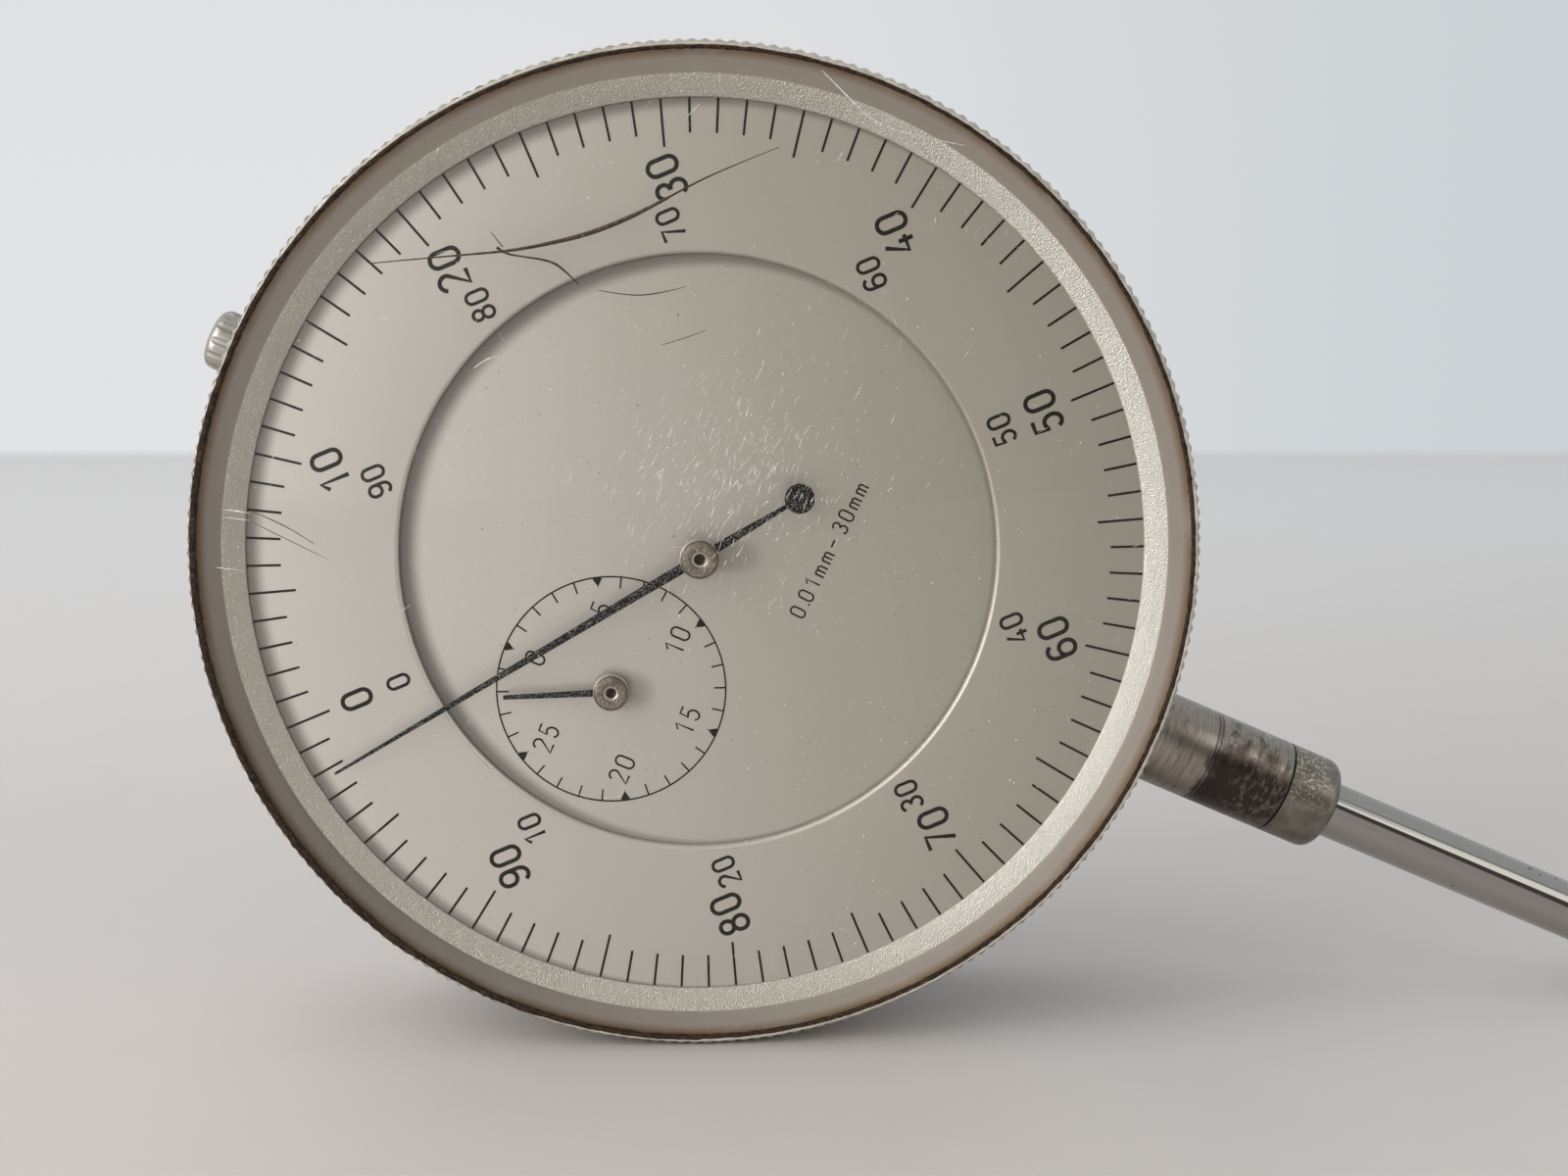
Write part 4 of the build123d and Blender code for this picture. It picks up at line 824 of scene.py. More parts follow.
finishes = {
    "dial": dialMaterial("satinSilverRing", dialSettings["ringEdge"]),
    "disc": dialMaterial("satinSilverDisc", dialSettings["discEdge"]),
    "ink": inkMaterial(),
    "flange": flangeMaterial(),
    "bezel": bezelMaterial(),
    "grime": grimeMaterial(),
    "crystal": crystalMaterial(),
    "crack": crackMaterial("brownCrack", (0.020, 0.011, 0.007), (0.11, 0.068, 0.040)),
    "scratch": crackMaterial("whiteScratch", (0.62, 0.61, 0.58), (1.0, 1.0, 0.98), 0.75),
    "hand": handMaterial(),
    "mainHub": facedNickel("facedMainHub", dial, 3.15),
    "smallHub": facedNickel("facedSmallHub", counter, 2.9),
    "stem": stemMaterial(),
    "ferrule": ferruleMaterial(),
    "spindle": spindleMaterial(),
    "plate": turnedPlate("satinCasePlate", (0.42, 0.41, 0.39), 0.30),
    "knob": wornMetal(
        "wornKnobNickel", (0.46, 0.43, 0.39), 0.34, lines=3.0, lineDepth=0.01, blotch=0.8, dirtShare=0.75
    ),
    "screw": wornMetal("polishedScrewSteel", (0.52, 0.52, 0.53), 0.22, (0.4, 1, 3.0), lines=3.0),
    "spring": wornMetal("drawnSpringWire", (0.48, 0.48, 0.50), 0.25, (3, 3, 0.3), lines=3.0),
    "arbor": wornMetal("hardenedArborSteel", (0.55, 0.55, 0.56), 0.20, (1, 6.0, 1), lines=3.0),
    "ball": wornMetal(
        "hardMetalBall", (0.42, 0.42, 0.44), 0.10, lines=2.0, lineDepth=0.0005, dirtShare=0.1
    ),
    "brass": grainedBrass("grainedMovementBrass", (0.72, 0.55, 0.27)),
    "wheel": grainedBrass("cutWheelBrass", (0.78, 0.62, 0.31)),
    "jewel": jewelMaterial(),
}
print("materials made:", len(finishes))

# Every CAD node gets its finish, those that a piece replaces below too.
nodeFinish = {
    "plate": ("case_body", "back_cover"),
    "screw": (
        "cover_screws", "bridge_screws", "rear_bridge_screws", "rail_screws", "spring_post", "guide_pin",
    ),
    "ferrule": ("stem_end_bush", "upper_bush"),
    "stem": ("stem",),
    "dial": ("scale_ring",),
    "disc": ("centre_dial",),
    "brass": (
        "centre_bridge", "bridge_pillars", "rear_bridge", "rear_pillars", "guide_rail",
        "hairspring_stud", "hairspring_collet",
    ),
    "spring": ("hairspring", "bezel_spring_wire", "return_spring"),
    "jewel": ("pivot_jewels",),
    "spindle": ("spindle", "contact_point"),
    "ball": ("contact_ball",),
    "knob": ("lifting_knob",),
    "bezel": ("bezel",),
    "flange": ("flange_ring",),
    "crystal": ("crystal",),
    "arbor": ("centre_arbor", "counter_arbor", "first_arbor", "takeup_arbor", "counter_pinion"),
    "hand": ("pointer", "small_pointer"),
    "mainHub": ("pointer_hub",),
    "wheel": ("counter_wheel", "transfer_wheel", "takeup_wheel"),
}
for finishName, members in nodeFinish.items():
    for node in members:
        nodes[node].data.materials.clear()
        nodes[node].data.materials.append(finishes[finishName])
assert sorted(nodes) == sorted(node for members in nodeFinish.values() for node in members)


bezelPiece = {
    "teeth": 240,
    "grooveDepth": 0.20,
    "lip": 0.70,
    "faceRim": 0.30,
    "frontRound": 0.16,
    "backChamfer": 0.28,
    "ledgeWidth": 1.05,
    "ledgeSheet": 0.45,
    "wall": 2.35,
    "roughness": 0.035,
    "roughDepth": 1.2,
    "drawnIn": 1.4,  # times the roughness, so that the dents stay inside the rim's outline
}


def makeBezel():
    size = bezelPiece
    outer = bezelOuter
    front, back = depthsOf("bezel")
    ledge = depthsOf("scale_ring")[1]
    seat = outer - size["lip"]
    bore = outer - size["wall"]
    face = outer - size["faceRim"]
    rings = [
        (seat, ledge),
        (seat, front + 0.2),  # the lip's rounded inner edge
        (seat + 0.05, front + 0.06),
        (seat + 0.16, front),
        (face, front),  # its rounded outer edge
        (face + size["frontRound"], front + 0.07),
        (outer - 0.01, front + 0.32),
        (outer, front + 0.42),
        (outer, back - size["backChamfer"] - 0.1),
        (outer - size["backChamfer"], back),
        (bore, back),
        (bore, ledge + size["ledgeSheet"]),  # the ledge that holds the scale
        (bore - size["ledgeWidth"], ledge + size["ledgeSheet"]),
        (bore - size["ledgeWidth"], ledge),
        (seat, ledge),
    ]
    steps = 2 * size["teeth"]
    piece = turned(dial, rings, steps)
    setMode("EDIT")

    def inGroove(co):
        number = round(atan2(co.x - dial.x, co.z - dial.z) / (2 * pi) * steps)
        rim = (outer - size["grooveDepth"]) * mm
        return number % 2 == 1 and hypot(co.x - dial.x, co.z - dial.z) > rim

    def nearFront(co):
        deep = (front + size["roughDepth"]) * mm
        return co.y - dial.y < deep and (co - dial).xz.length > seat * mm + 10 * sliver

    selectPoints(piece, inGroove)
    widen((outer - size["grooveDepth"]) / outer)
    selectPoints(piece, nearFront)
    bpy.ops.transform.vertex_random(offset=size["roughness"] * mm, seed=4)
    widen(1 - size["drawnIn"] * size["roughness"] / outer)
    bpy.ops.transform.translate(value=(0, size["roughness"] * mm, 0))
    setMode("OBJECT")
    finish(piece, "knurledBezel", "bezel", "bezel_nickel", "bezel", 25, "bezel")


makeBezel()

# Grime is packed between the crystal and the bezel's lip.
grimePiece = {
    "rings": [
        (39.46, -1.86), (39.40, -1.96), (39.28, -1.99), (39.20, -1.93), (39.14, -1.7), (39.46, -1.7),
        (39.46, -1.86),
    ],
    "middle": 39.3,
    "lumps": 0.06,
    "thickShare": 1.006,  # how far its outer side is pushed out where it lies thickest
    "thickSide": Vector((-0.65, 0, 0.76)),
    "thickSteps": (0.3, 0.6, 0.8),
    "steps": 720,
}


def makeGrime():
    size = grimePiece
    piece = turned(dial, size["rings"], size["steps"])
    setMode("EDIT")
    for reach in size["thickSteps"]:

        def thickest(co):
            flat = (co - dial) * Vector((1, 0, 1))
            outside = flat.length > size["middle"] * mm
            return outside and flat.normalized().dot(size["thickSide"]) > reach

        selectPoints(piece, thickest)
        widen(size["thickShare"] ** (1 / len(size["thickSteps"])))
    bpy.ops.mesh.select_all(action="SELECT")
    bpy.ops.transform.vertex_random(offset=size["lumps"] * mm, seed=11)
    setMode("OBJECT")
    finish(piece, "rimGrime", "bezel", "bezel_nickel", "grime", 60)


makeGrime()

scalePiece = {"inner": 23.8, "edgeRound": 0.34, "roundSteps": 6, "sheet": 0.6, "steps": 360}


# The scale ring's inner edge is rolled over.
def makeScale():
    size = scalePiece
    outer, inner, rolled = radiusOf("scale_ring"), size["inner"], size["edgeRound"]
    rings = [(outer, 0), (inner + rolled, 0)]
    for number in range(1, size["roundSteps"] + 1):
        angle = radians(90 * number / size["roundSteps"])
        rings.append((inner + rolled * (1 - sin(angle)), rolled * (1 - cos(angle))))
    rings += [(inner, size["sheet"]), (outer, size["sheet"]), (outer, 0)]
    piece = turned(dial, rings, size["steps"])
    finish(piece, "scalePlate", "bezel", "dial_silver", "dial", 40, "scale_ring")


makeScale()

flangePiece = {
    "inner": 35.7,
    "innerRise": 0.25,
    "innerBreak": 0.06,
    "ridge": 37.5,
    "ridgeRise": 0.93,
    "shoulder": 0.5,  # outwards from the ridge
    "shoulderRise": 0.685,
    "outerShare": 0.25,  # of the outer edge's rise, added at the shoulder
    "steps": 360,
}


def makeFlange():
    size = flangePiece
    outer, inner, ridge = radiusOf("flange_ring"), size["inner"], size["ridge"]
    rise = depthsOf("flange_ring")[0]
    rings = [
        (inner, 0),
        (inner, -size["innerRise"] + size["innerBreak"]),
        (inner + size["innerBreak"], -size["innerRise"]),
        (ridge, -size["ridgeRise"]),
        (ridge + size["shoulder"], size["outerShare"] * rise - size["shoulderRise"]),
        (outer, rise),
        (outer, 0),
        (inner, 0),
    ]
    piece = turned(dial, rings, size["steps"])
    finish(piece, "flangeBand", "bezel", "flange_silver", "flange", 12, "flange_ring")


makeFlange()

crystalPiece = {
    "wall": 1.3,
    "crownRise": 4.8,
    "shoulder": 2.2,
    "shoulderRise": 2.7,
    "innerStep": 0.715,
    "edge": 0.5,
    "edgeBreak": 0.08,
    "steps": 240,
    "rings": 10,
}


# A dome is its half width, its crown's depth and the drop from crown to shoulder.
def domeCurve(half, drop):
    return (half**2 + drop**2) / (2 * drop)


def domeDepth(radius, dome):
    half, crown, drop = dome
    curve = domeCurve(half, drop)
    return crown + curve - sqrt(curve**2 - min(radius, half) ** 2)


# Rings of a dome from near its crown out to its shoulder.
def domeRings(dome, count):
    radii = [dome[0] * number / count for number in range(1, count + 1)]
    return [(radius, domeDepth(radius, dome)) for radius in radii]


# Rings of the arc that leaves a dome's shoulder along the dome and ends at the edge.
def shoulderRings(start, dome, end, count):
    slope = asin(dome[0] / domeCurve(dome[0], dome[2]))
    across, back = end[0] - start[0], end[1] - start[1]
    reach = -sin(slope) * across + cos(slope) * back
    radius = (across**2 + back**2) / (2 * reach)
    middle = (start[0] - radius * sin(slope), start[1] + radius * cos(slope))
    first = atan2(start[1] - middle[1], start[0] - middle[0])
    last = atan2(end[1] - middle[1], end[0] - middle[0])
    rings = []
    for number in range(1, count + 1):
        angle = first + (last - first) * number / count
        rings.append((middle[0] + radius * cos(angle), middle[1] + radius * sin(angle)))
    return rings


crystalOuter = radiusOf("crystal")
crystalRim = depthsOf("flange_ring")[0]
outsideDome = (
    crystalOuter - crystalPiece["shoulder"],
    crystalRim - crystalPiece["crownRise"],
    crystalPiece["crownRise"] - crystalPiece["shoulderRise"],
)
insideDome = (
    outsideDome[0] - crystalPiece["innerStep"],
    outsideDome[1] + crystalPiece["wall"],
    outsideDome[2],
)


def makeCrystal():
    size = crystalPiece
    outer, rim, small = crystalOuter, crystalRim, size["edgeBreak"]
    bore = outer - size["wall"]
    front = domeRings(outsideDome, size["rings"])
    back = domeRings(insideDome, size["rings"])
    rings = front + shoulderRings(front[-1], outsideDome, (outer, rim - size["edge"]), size["rings"])
    rings += [(outer, rim - small), (outer - small, rim), (bore, rim)]
    rings += reversed(shoulderRings(back[-1], insideDome, (bore, rim), size["rings"])[:-1])
    rings += reversed(back)
    rings.append((pole, insideDome[1]))
    piece = turned(dial, rings, size["steps"], disc=True)
    finish(piece, "domedCrystal", "bezel", "crystal_acrylic", "crystal", 60, "crystal")


makeCrystal()
print("bezel, scale, flange and crystal made")

printPiece = {
    "thick": 0.018,
    "zero": -46.0,  # where the ring's zero stands, clockwise from the top
    "divisions": 100,
    "longEvery": 5,
    "lineWidth": 0.195,
    "lineRound": 0.22,
    "shortInner": 33.0,
    "longInner": 32.0,
    "outer": 35.68,
    "gap": 0.30,
    "big": {"height": 2.75, "radius": 29.65, "stroke": 0.405},
    "small": {"height": 2.05, "radius": 26.05, "stroke": 0.31},
}


# Across the dial and up it, in millimetres from a centre, at an angle clockwise from the top.
def onDial(radius, angle):
    return radius * sin(radians(angle)), radius * cos(radians(angle))


# A flat mark with its long side along the radius at the top of a centre.
def barMark(centre, low, high, width):
    thick = printPiece["thick"]
    middle = centre + Vector((0, -thick / 2 * mm, (low + high) / 2 * mm))
    piece = makeBlock(middle, (width, thick, high - low))
    weights = piece.data.attributes.new("bevel_weight_edge", "FLOAT", "EDGE")
    for edge in piece.data.edges:
        first, second = (piece.data.vertices[index].co for index in edge.vertices)
        weights.data[edge.index].value = float(abs(first.y - second.y) > sliver)
    roundEdges(piece, width * printPiece["lineRound"])
    return piece


def turnMark(piece, centre, angle):
    makeActive(piece)
    piece.matrix_world = turnAbout(centre, radians(angle)) @ piece.matrix_world
    applyPlace(piece)


# Five marks, the first one longer, and then copies of the five all round.
def makeTicks():
    size = printPiece
    step = 360 / size["divisions"]
    group = size["longEvery"]
    marks = []
    for number in range(group):
        inner = size["shortInner"] if number else size["longInner"]
        mark = barMark(dial, inner, size["outer"], size["lineWidth"])
        turnMark(mark, dial, size["zero"] + number * step)
        marks.append(mark)
    piece = ringOf(joinPieces(marks), dial, size["divisions"] // group, radians(group * step))
    finish(piece, "scaleTicks", "bezel", "dial_silver", "ink", 0)


makeTicks()

# Figures are drawn as strokes in a box one high, its corner at the lower left.
figureWidth = 0.50


# Points of an elliptical arc, with angles counted anticlockwise from the right.
def arc(across, up, wide, high, start, end, count=9):
    points = []
    for number in range(count + 1):
        angle = radians(start + (end - start) * number / count)
        points.append((across + wide * cos(angle), up + high * sin(angle)))
    return points


def loop(low, high, left=0.0, right=figureWidth):
    half = (right - left) / 2
    end = min(half, (high - low) / 2)
    upper = arc(left + half, high - end, half, end, 180, 0)
    return upper + arc(left + half, low + end, half, end, 0, -180) + [(left, high - end)]


def figureStrokes():
    half = figureWidth / 2
    nine = [loop(0.42, 1.0), [(figureWidth, 0.70)] + arc(half, 0.30, half, 0.30, 0, -150, 10)]
    return {
        "0": [loop(0.0, 1.0)],
        "1": [[(0.08, 0.78), (0.34, 1.0), (0.34, 0.0)]],
        "2": [arc(half, 0.74, half, 0.26, 165, -20) + [(0.02, 0.0), (figureWidth, 0.0)]],
        "3": [
            arc(half, 0.765, half * 0.94, 0.235, 155, -90),
            arc(half, 0.265, half, 0.265, 90, -155, 10),
        ],
        "4": [[(0.34, 1.0), (0.0, 0.26), (0.54, 0.26)], [(0.38, 0.50), (0.38, 0.0)]],
        "5": [[(0.47, 1.0), (0.08, 1.0), (0.03, 0.54)] + arc(half, 0.31, half, 0.31, 125, -150, 11)],
        "6": [[(figureWidth - x, 1 - y) for x, y in stroke] for stroke in nine],
        "7": [[(0.0, 1.0), (figureWidth, 1.0), (0.16, 0.0)]],
        "8": [loop(0.53, 1.0, 0.03, figureWidth - 0.03), loop(0.0, 0.53)],
        "9": nine,
        "m": [
            [(0.0, 0.0), (0.0, 0.62)],
            arc(0.15, 0.47, 0.15, 0.16, 180, 0, 6) + [(0.30, 0.0)],
            arc(0.45, 0.47, 0.15, 0.16, 180, 0, 6) + [(0.60, 0.0)],
        ],
        ".": [[(0.10, 0.0), (0.10, 0.12)]],
        "-": [[(0.0, 0.45), (0.55, 0.45)]],
    }


figures = figureStrokes()
figureAdvance = {".": 0.30, "m": 0.98, "-": 1.15}


# Strokes of a word, centred on a place of the dial and turned clockwise, in millimetres.
def wordStrokes(word, across, up, height, gap, turn=0.0):
    widths = [figureAdvance.get(letter, figureWidth + gap) for letter in word]
    start = (gap - sum(widths)) / 2
    side, rise = cos(radians(turn)), sin(radians(turn))
    strokes = []
    for letter, width in zip(word, widths):
        for stroke in figures[letter]:
            flat = [((start + x) * height, (z - 0.5) * height) for x, z in stroke]
            strokes.append([(across + x * side + z * rise, up - x * rise + z * side) for x, z in flat])
        start += width
    return strokes


# A flat printed piece from strokes. Its ribbons are round bars pressed flat.
def printStrokes(name, body, centre, strokes, width):
    deselectAll()
    bpy.ops.curve.primitive_nurbs_path_add()
    line = bpy.context.object
    line.data.splines.clear()
    for stroke in strokes:
        closed = hypot(stroke[0][0] - stroke[-1][0], stroke[0][1] - stroke[-1][1]) < sliver
        points = stroke[:-1] if closed else stroke
        spline = line.data.splines.new("POLY")
        spline.points.add(len(points) - 1)
        for point, (x, z) in zip(spline.points, points):
            point.co = (x * mm, 0, z * mm, 1)
        spline.use_cyclic_u = closed
    line.data.bevel_depth = width / 2 * mm
    line.data.bevel_resolution = 1
    line.data.use_fill_caps = True
    line.location = origin
    line.rotation_euler = (0, 0, 0)
    bpy.ops.object.convert(target="MESH")
    piece = bpy.context.object
    setMode("EDIT")
    bpy.ops.mesh.select_all(action="SELECT")
    bpy.ops.mesh.remove_doubles(threshold=sliver)
    bpy.ops.transform.resize(value=(1, printPiece["thick"] / width, 1), center_override=origin)
    setMode("OBJECT")
    piece.location = centre
    applyPlace(piece)
    finish(piece, name, body, "dial_silver", "ink", 60)


def makeRingFigures(name, look, values):
    turn, stroke = printPiece["zero"], look["stroke"]
    strokes = []
    for number, value in enumerate(values):
        across, up = onDial(look["radius"], turn + 360 / len(values) * number)
        height = look["height"] - stroke
        strokes += wordStrokes(str(value), across, up, height, printPiece["gap"], turn)
    printStrokes(name, "bezel", dial, strokes, stroke)


makeRingFigures("scaleFigures", printPiece["big"], range(0, 100, 10))
makeRingFigures("reverseFigures", printPiece["small"], [0, *range(90, 0, -10)])

counterPiece = {
    "divisions": 30,
    "wedgeEvery": 5,
    "circle": 9.2,
    "line": 0.13,
    "tick": 0.95,
    "tickWidth": 0.13,
    "triangle": 0.85,
    "triangleWidth": 0.72,
    "triangleTip": 0.08,
    "figureHeight": 1.74,
    "figureStroke": 0.195,
    "figureRadius": 6.62,
    "figureGap": 0.34,
    "labelHeight": 1.42,
    "labelStroke": 0.18,
    "labelPlace": (4.4, -9.4),
    "labelGap": 0.40,
    "labelTurn": 3.0,
}


# Four short marks and a wedge, and then copies of the five all round, on a thin ring.
def makeCounterMarks():
    size = counterPiece
    circle, thick = size["circle"], printPiece["thick"]
    low, high = circle - size["line"] / 2, circle + size["line"] / 2
    ring = turned(counter, [(low, 0), (low, -thick), (high, -thick), (high, 0), (low, 0)], 180)
    marks = []
    step = 360 / size["divisions"]
    group = size["wedgeEvery"]
    for number in range(1, group):
        mark = barMark(counter, circle - size["tick"], circle, size["tickWidth"])
        turnMark(mark, counter, number * step)
        marks.append(mark)
    wedge = barMark(counter, circle - size["triangle"], circle, size["triangleWidth"])
    makeActive(wedge)
    setMode("EDIT")
    middle = counter.z + (circle - size["triangle"] / 2) * mm
    selectPoints(wedge, lambda co: co.z < middle)
    narrow(size["triangleTip"], (counter.x, counter.y, middle))
    setMode("OBJECT")
    marks.append(wedge)
    around = ringOf(joinPieces(marks), counter, size["divisions"] // group, radians(group * step))
    finish(joinPieces([around, ring]), "counterTicks", "case", "dial_silver", "ink", 0)


def makeCounterWords():
    size = counterPiece
    stroke = size["figureStroke"]
    strokes = []
    for value in range(0, size["divisions"], size["wedgeEvery"]):
        across, up = onDial(size["figureRadius"], 360 / size["divisions"] * value)
        height = size["figureHeight"] - stroke
        strokes += wordStrokes(str(value), across, up, height, size["figureGap"])
    printStrokes("counterFigures", "case", counter, strokes, stroke)
    stroke = size["labelStroke"]
    height = size["labelHeight"] - stroke
    across, up = size["labelPlace"]
    strokes = wordStrokes("0.01mm-30mm", across, up, height, size["labelGap"], size["labelTurn"])
    onDisc = Vector((dial.x, discFront, dial.z))
    printStrokes("rangeLabel", "case", onDisc, strokes, stroke)


makeCounterMarks()
makeCounterWords()
print("printed marks made")

mainHand = {
    "angle": -54.0,
    "length": 33.8,
    "root": 0.84,
    "tip": 0.22,
    "tail": 8.3,
    "tailWidth": 0.34,
    "discAt": 9.2,
    "disc": 2.4,
    "hub": 3.15,
    "hole": 1.22,
}
smallHand = {
    "angle": -25.8,
    "length": 8.6,
    "root": 0.6,
    "tip": 0.34,
    "tail": 1.2,
    "tailWidth": 0.34,
    "hub": 2.9,
    "hole": 1.02,
    "lift": 0.45,  # from the back of its hub to its front face
    "thick": 0.15,
}
handEdge = 0.03  # how far a hand's edges are rounded


# A tapered flat hand that points up from a centre, with its tail below. front and back are depths.
def makeHand(centre, front, back, size):
    thick = back - front
    middle = centre + Vector((0, (front + thick / 2) * mm, size["length"] / 2 * mm))
    piece = makeBlock(middle, (size["root"], thick, size["length"]))
    setMode("EDIT")
    selectPoints(piece, lambda co: co.z > centre.z + 1 * mm)
    narrow(size["tip"] / size["root"], centre)
    bpy.ops.mesh.select_mode(type="FACE")
    bpy.ops.mesh.select_all(action="DESELECT")
    shape = bmesh.from_edit_mesh(piece.data)
    for face in shape.faces:
        face.select = face.normal.z < -0.9
    bmesh.update_edit_mesh(piece.data)
    bpy.ops.mesh.extrude_region_move(TRANSFORM_OT_translate={"value": (0, 0, -size["tail"] * mm)})
    narrow(size["tailWidth"] / size["root"], centre)
    setMode("OBJECT")
    if "disc" in size:
        radius = size["disc"] / 2
        place = centre - Vector((0, 0, size["discAt"] * mm))
        disc = turned(place, [(radius, front), (radius, back), (pole, back)], 64, disc=True)
        piece = joinPieces([piece, disc])
    roundEdges(piece, handEdge, 50)
    turnMark(piece, centre, size["angle"])
    return piece


# A turned hub with a rounded rim, a bright collar round its hole and a drilled centre.
def makeHub(centre, front, back, size):
    outer, hole = size["hub"] / 2, size["hole"] / 2
    rings = [
        (outer, back),
        (outer, front + 0.16),  # its rounded rim
        (outer - 0.05, front + 0.05),
        (outer - 0.15, front),
        (hole + 0.07, front),  # the broken edge of the hole
        (hole + 0.02, front + 0.02),
        (hole, front + 0.07),
        (hole - 0.04, front + 0.10),  # the collar in it
        (hole - 0.16, front + 0.10),
        (hole - 0.21, front + 0.13),
        (hole - 0.24, front + 0.30),  # the drilled centre
        (0.10, front + 0.34),
        (pole, front + 0.34),
    ]
    piece = turned(centre, rings, 96)
    makeActive(piece)
    setMode("EDIT")
    bpy.ops.mesh.select_all(action="DESELECT")
    bpy.ops.mesh.select_mode(type="EDGE")
    bpy.ops.mesh.select_non_manifold()
    bpy.ops.mesh.edge_face_add()
    bpy.ops.mesh.select_all(action="SELECT")
    bpy.ops.mesh.normals_make_consistent(inside=False)
    setMode("OBJECT")
    return piece


def makeHands():
    front, back = depthsOf("pointer")
    needle = makeHand(dial, front, back, mainHand)
    finish(needle, "mainNeedle", "main_hand", "hand_blued", "hand", 30, "pointer")
    hub = makeHub(dial, depthsOf("pointer_hub")[0], front, mainHand)
    finish(hub, "mainHub", "main_hand", "hub_nickel", "mainHub", 30, "pointer_hub")
    hubFront, hubBack = depthsOf("small_pointer", counter)
    front = hubBack - smallHand["lift"]
    needle = makeHand(counter, front, front + smallHand["thick"], smallHand)
    finish(needle, "smallNeedle", "counter_hand", "hand_blued", "hand", 30, "small_pointer")
    hub = makeHub(counter, hubFront, hubBack, smallHand)
    finish(hub, "smallHub", "counter_hand", "hub_nickel", "smallHub", 30)


makeHands()
print("hands made")

# Parts of the spindle line and the back are the CAD's own, with their edges rounded by a width.
softPieces = {
    "liftingKnob": ("lifting_knob", "spindle", "knob_nickel", "knob", 0.10),
    "mainStem": ("stem", "case", "stem_steel", "stem", 0.06),
    "ferrule": ("stem_end_bush", "case", "bush_nickel", "ferrule", 0.05),
    "topBush": ("upper_bush", "case", "bush_nickel", "ferrule", 0.08),
    "contactTip": ("contact_point", "spindle", "spindle_steel", "spindle", 0.05),
    "slidingSpindle": ("spindle", "spindle", "spindle_steel", "spindle", 0.0),
    "caseShell": ("case_body", "case", "case_plate", "plate", 0.12),
    "backPlate": ("back_cover", "case", "case_plate", "plate", 0.15),
    "coverScrews": ("cover_screws", "case", "screw_steel", "screw", 0.04),
    "contactBall": ("contact_ball", "spindle", "ball_carbide", "ball", 0.0),
}
for pieceName, (node, body, slot, finishName, width) in softPieces.items():
    finish(softened(node, width), pieceName, body, slot, finishName, 32, node)
print("turned parts dressed")


# Fine lines on or under a dome, as one curve. Each stroke is its points, widths and depth.
def makeDomeLines(name, strokes, dome, finishName):
    deselectAll()
    bpy.ops.curve.primitive_nurbs_path_add()
    piece = bpy.context.object
    piece.data.splines.clear()
    for points, widths, lift in strokes:
        spline = piece.data.splines.new("NURBS")
        spline.points.add(len(points) - 1)
        for point, (x, z), width in zip(spline.points, points, widths):
            point.co = (x * mm, (domeDepth(hypot(x, z), dome) + lift) * mm, z * mm, 1)
            point.radius = width
        spline.order_u = min(3, len(points))
        spline.use_endpoint_u = True
        spline.resolution_u = 6 if len(points) > 3 else 3
    piece.data.bevel_depth = 0.5 * mm
    piece.data.bevel_resolution = 0
    piece.data.use_fill_caps = True
    piece.location = dial
    bpy.ops.object.convert(target="MESH")
    piece = bpy.context.object
    applyPlace(piece)
    finish(piece, name, "bezel", "crystal_acrylic", finishName, 60)


# Each crack is its points on the dome and its width at each.
crackPiece = {
    "inside": 0.10,  # behind the crystal's inner face
    "cracks": [
        (
            [(11.2, 31.9), (13.5, 27.7), (14.9, 25.1), (16.3, 22.5), (18.0, 20.0), (19.8, 17.6),
             (22.6, 14.8), (24.8, 13.1)],
            [0.08, 0.11, 0.16, 0.22, 0.29, 0.37, 0.34, 0.20],
        ),
        ([(24.4, 13.4), (26.0, 12.2), (28.6, 9.9), (31.6, 6.9)], [0.14, 0.16, 0.09, 0.05]),
        (
            [(16.1, 23.6), (15.9, 22.9), (16.2, 21.7), (16.8, 19.5), (16.6, 18.3), (16.0, 16.8)],
            [0.24, 0.18, 0.13, 0.20, 0.18, 0.06],
        ),
        ([(17.0, 24.5), (16.3, 23.2)], [0.05, 0.10]),
        ([(16.2, 15.3), (16.7, 13.1), (17.7, 11.1), (19.1, 9.3)], [0.05, 0.09, 0.10, 0.04]),
        ([(14.3, 9.3), (15.5, 7.8), (16.7, 6.6)], [0.04, 0.07, 0.04]),
        ([(-10.0, 33.2), (-10.0, 31.4), (-10.1, 29.6), (-10.4, 27.9)], [0.04, 0.10, 0.06, 0.05]),
        (
            [(-10.8, 32.9), (-10.9, 31.0), (-10.9, 30.4), (-11.0, 28.6), (-11.1, 26.4)],
            [0.04, 0.10, 0.06, 0.09, 0.03],
        ),
    ],
}
cracks = [(*crack, crackPiece["inside"]) for crack in crackPiece["cracks"]]
makeDomeLines("crystalCracks", cracks, insideDome, "crack")

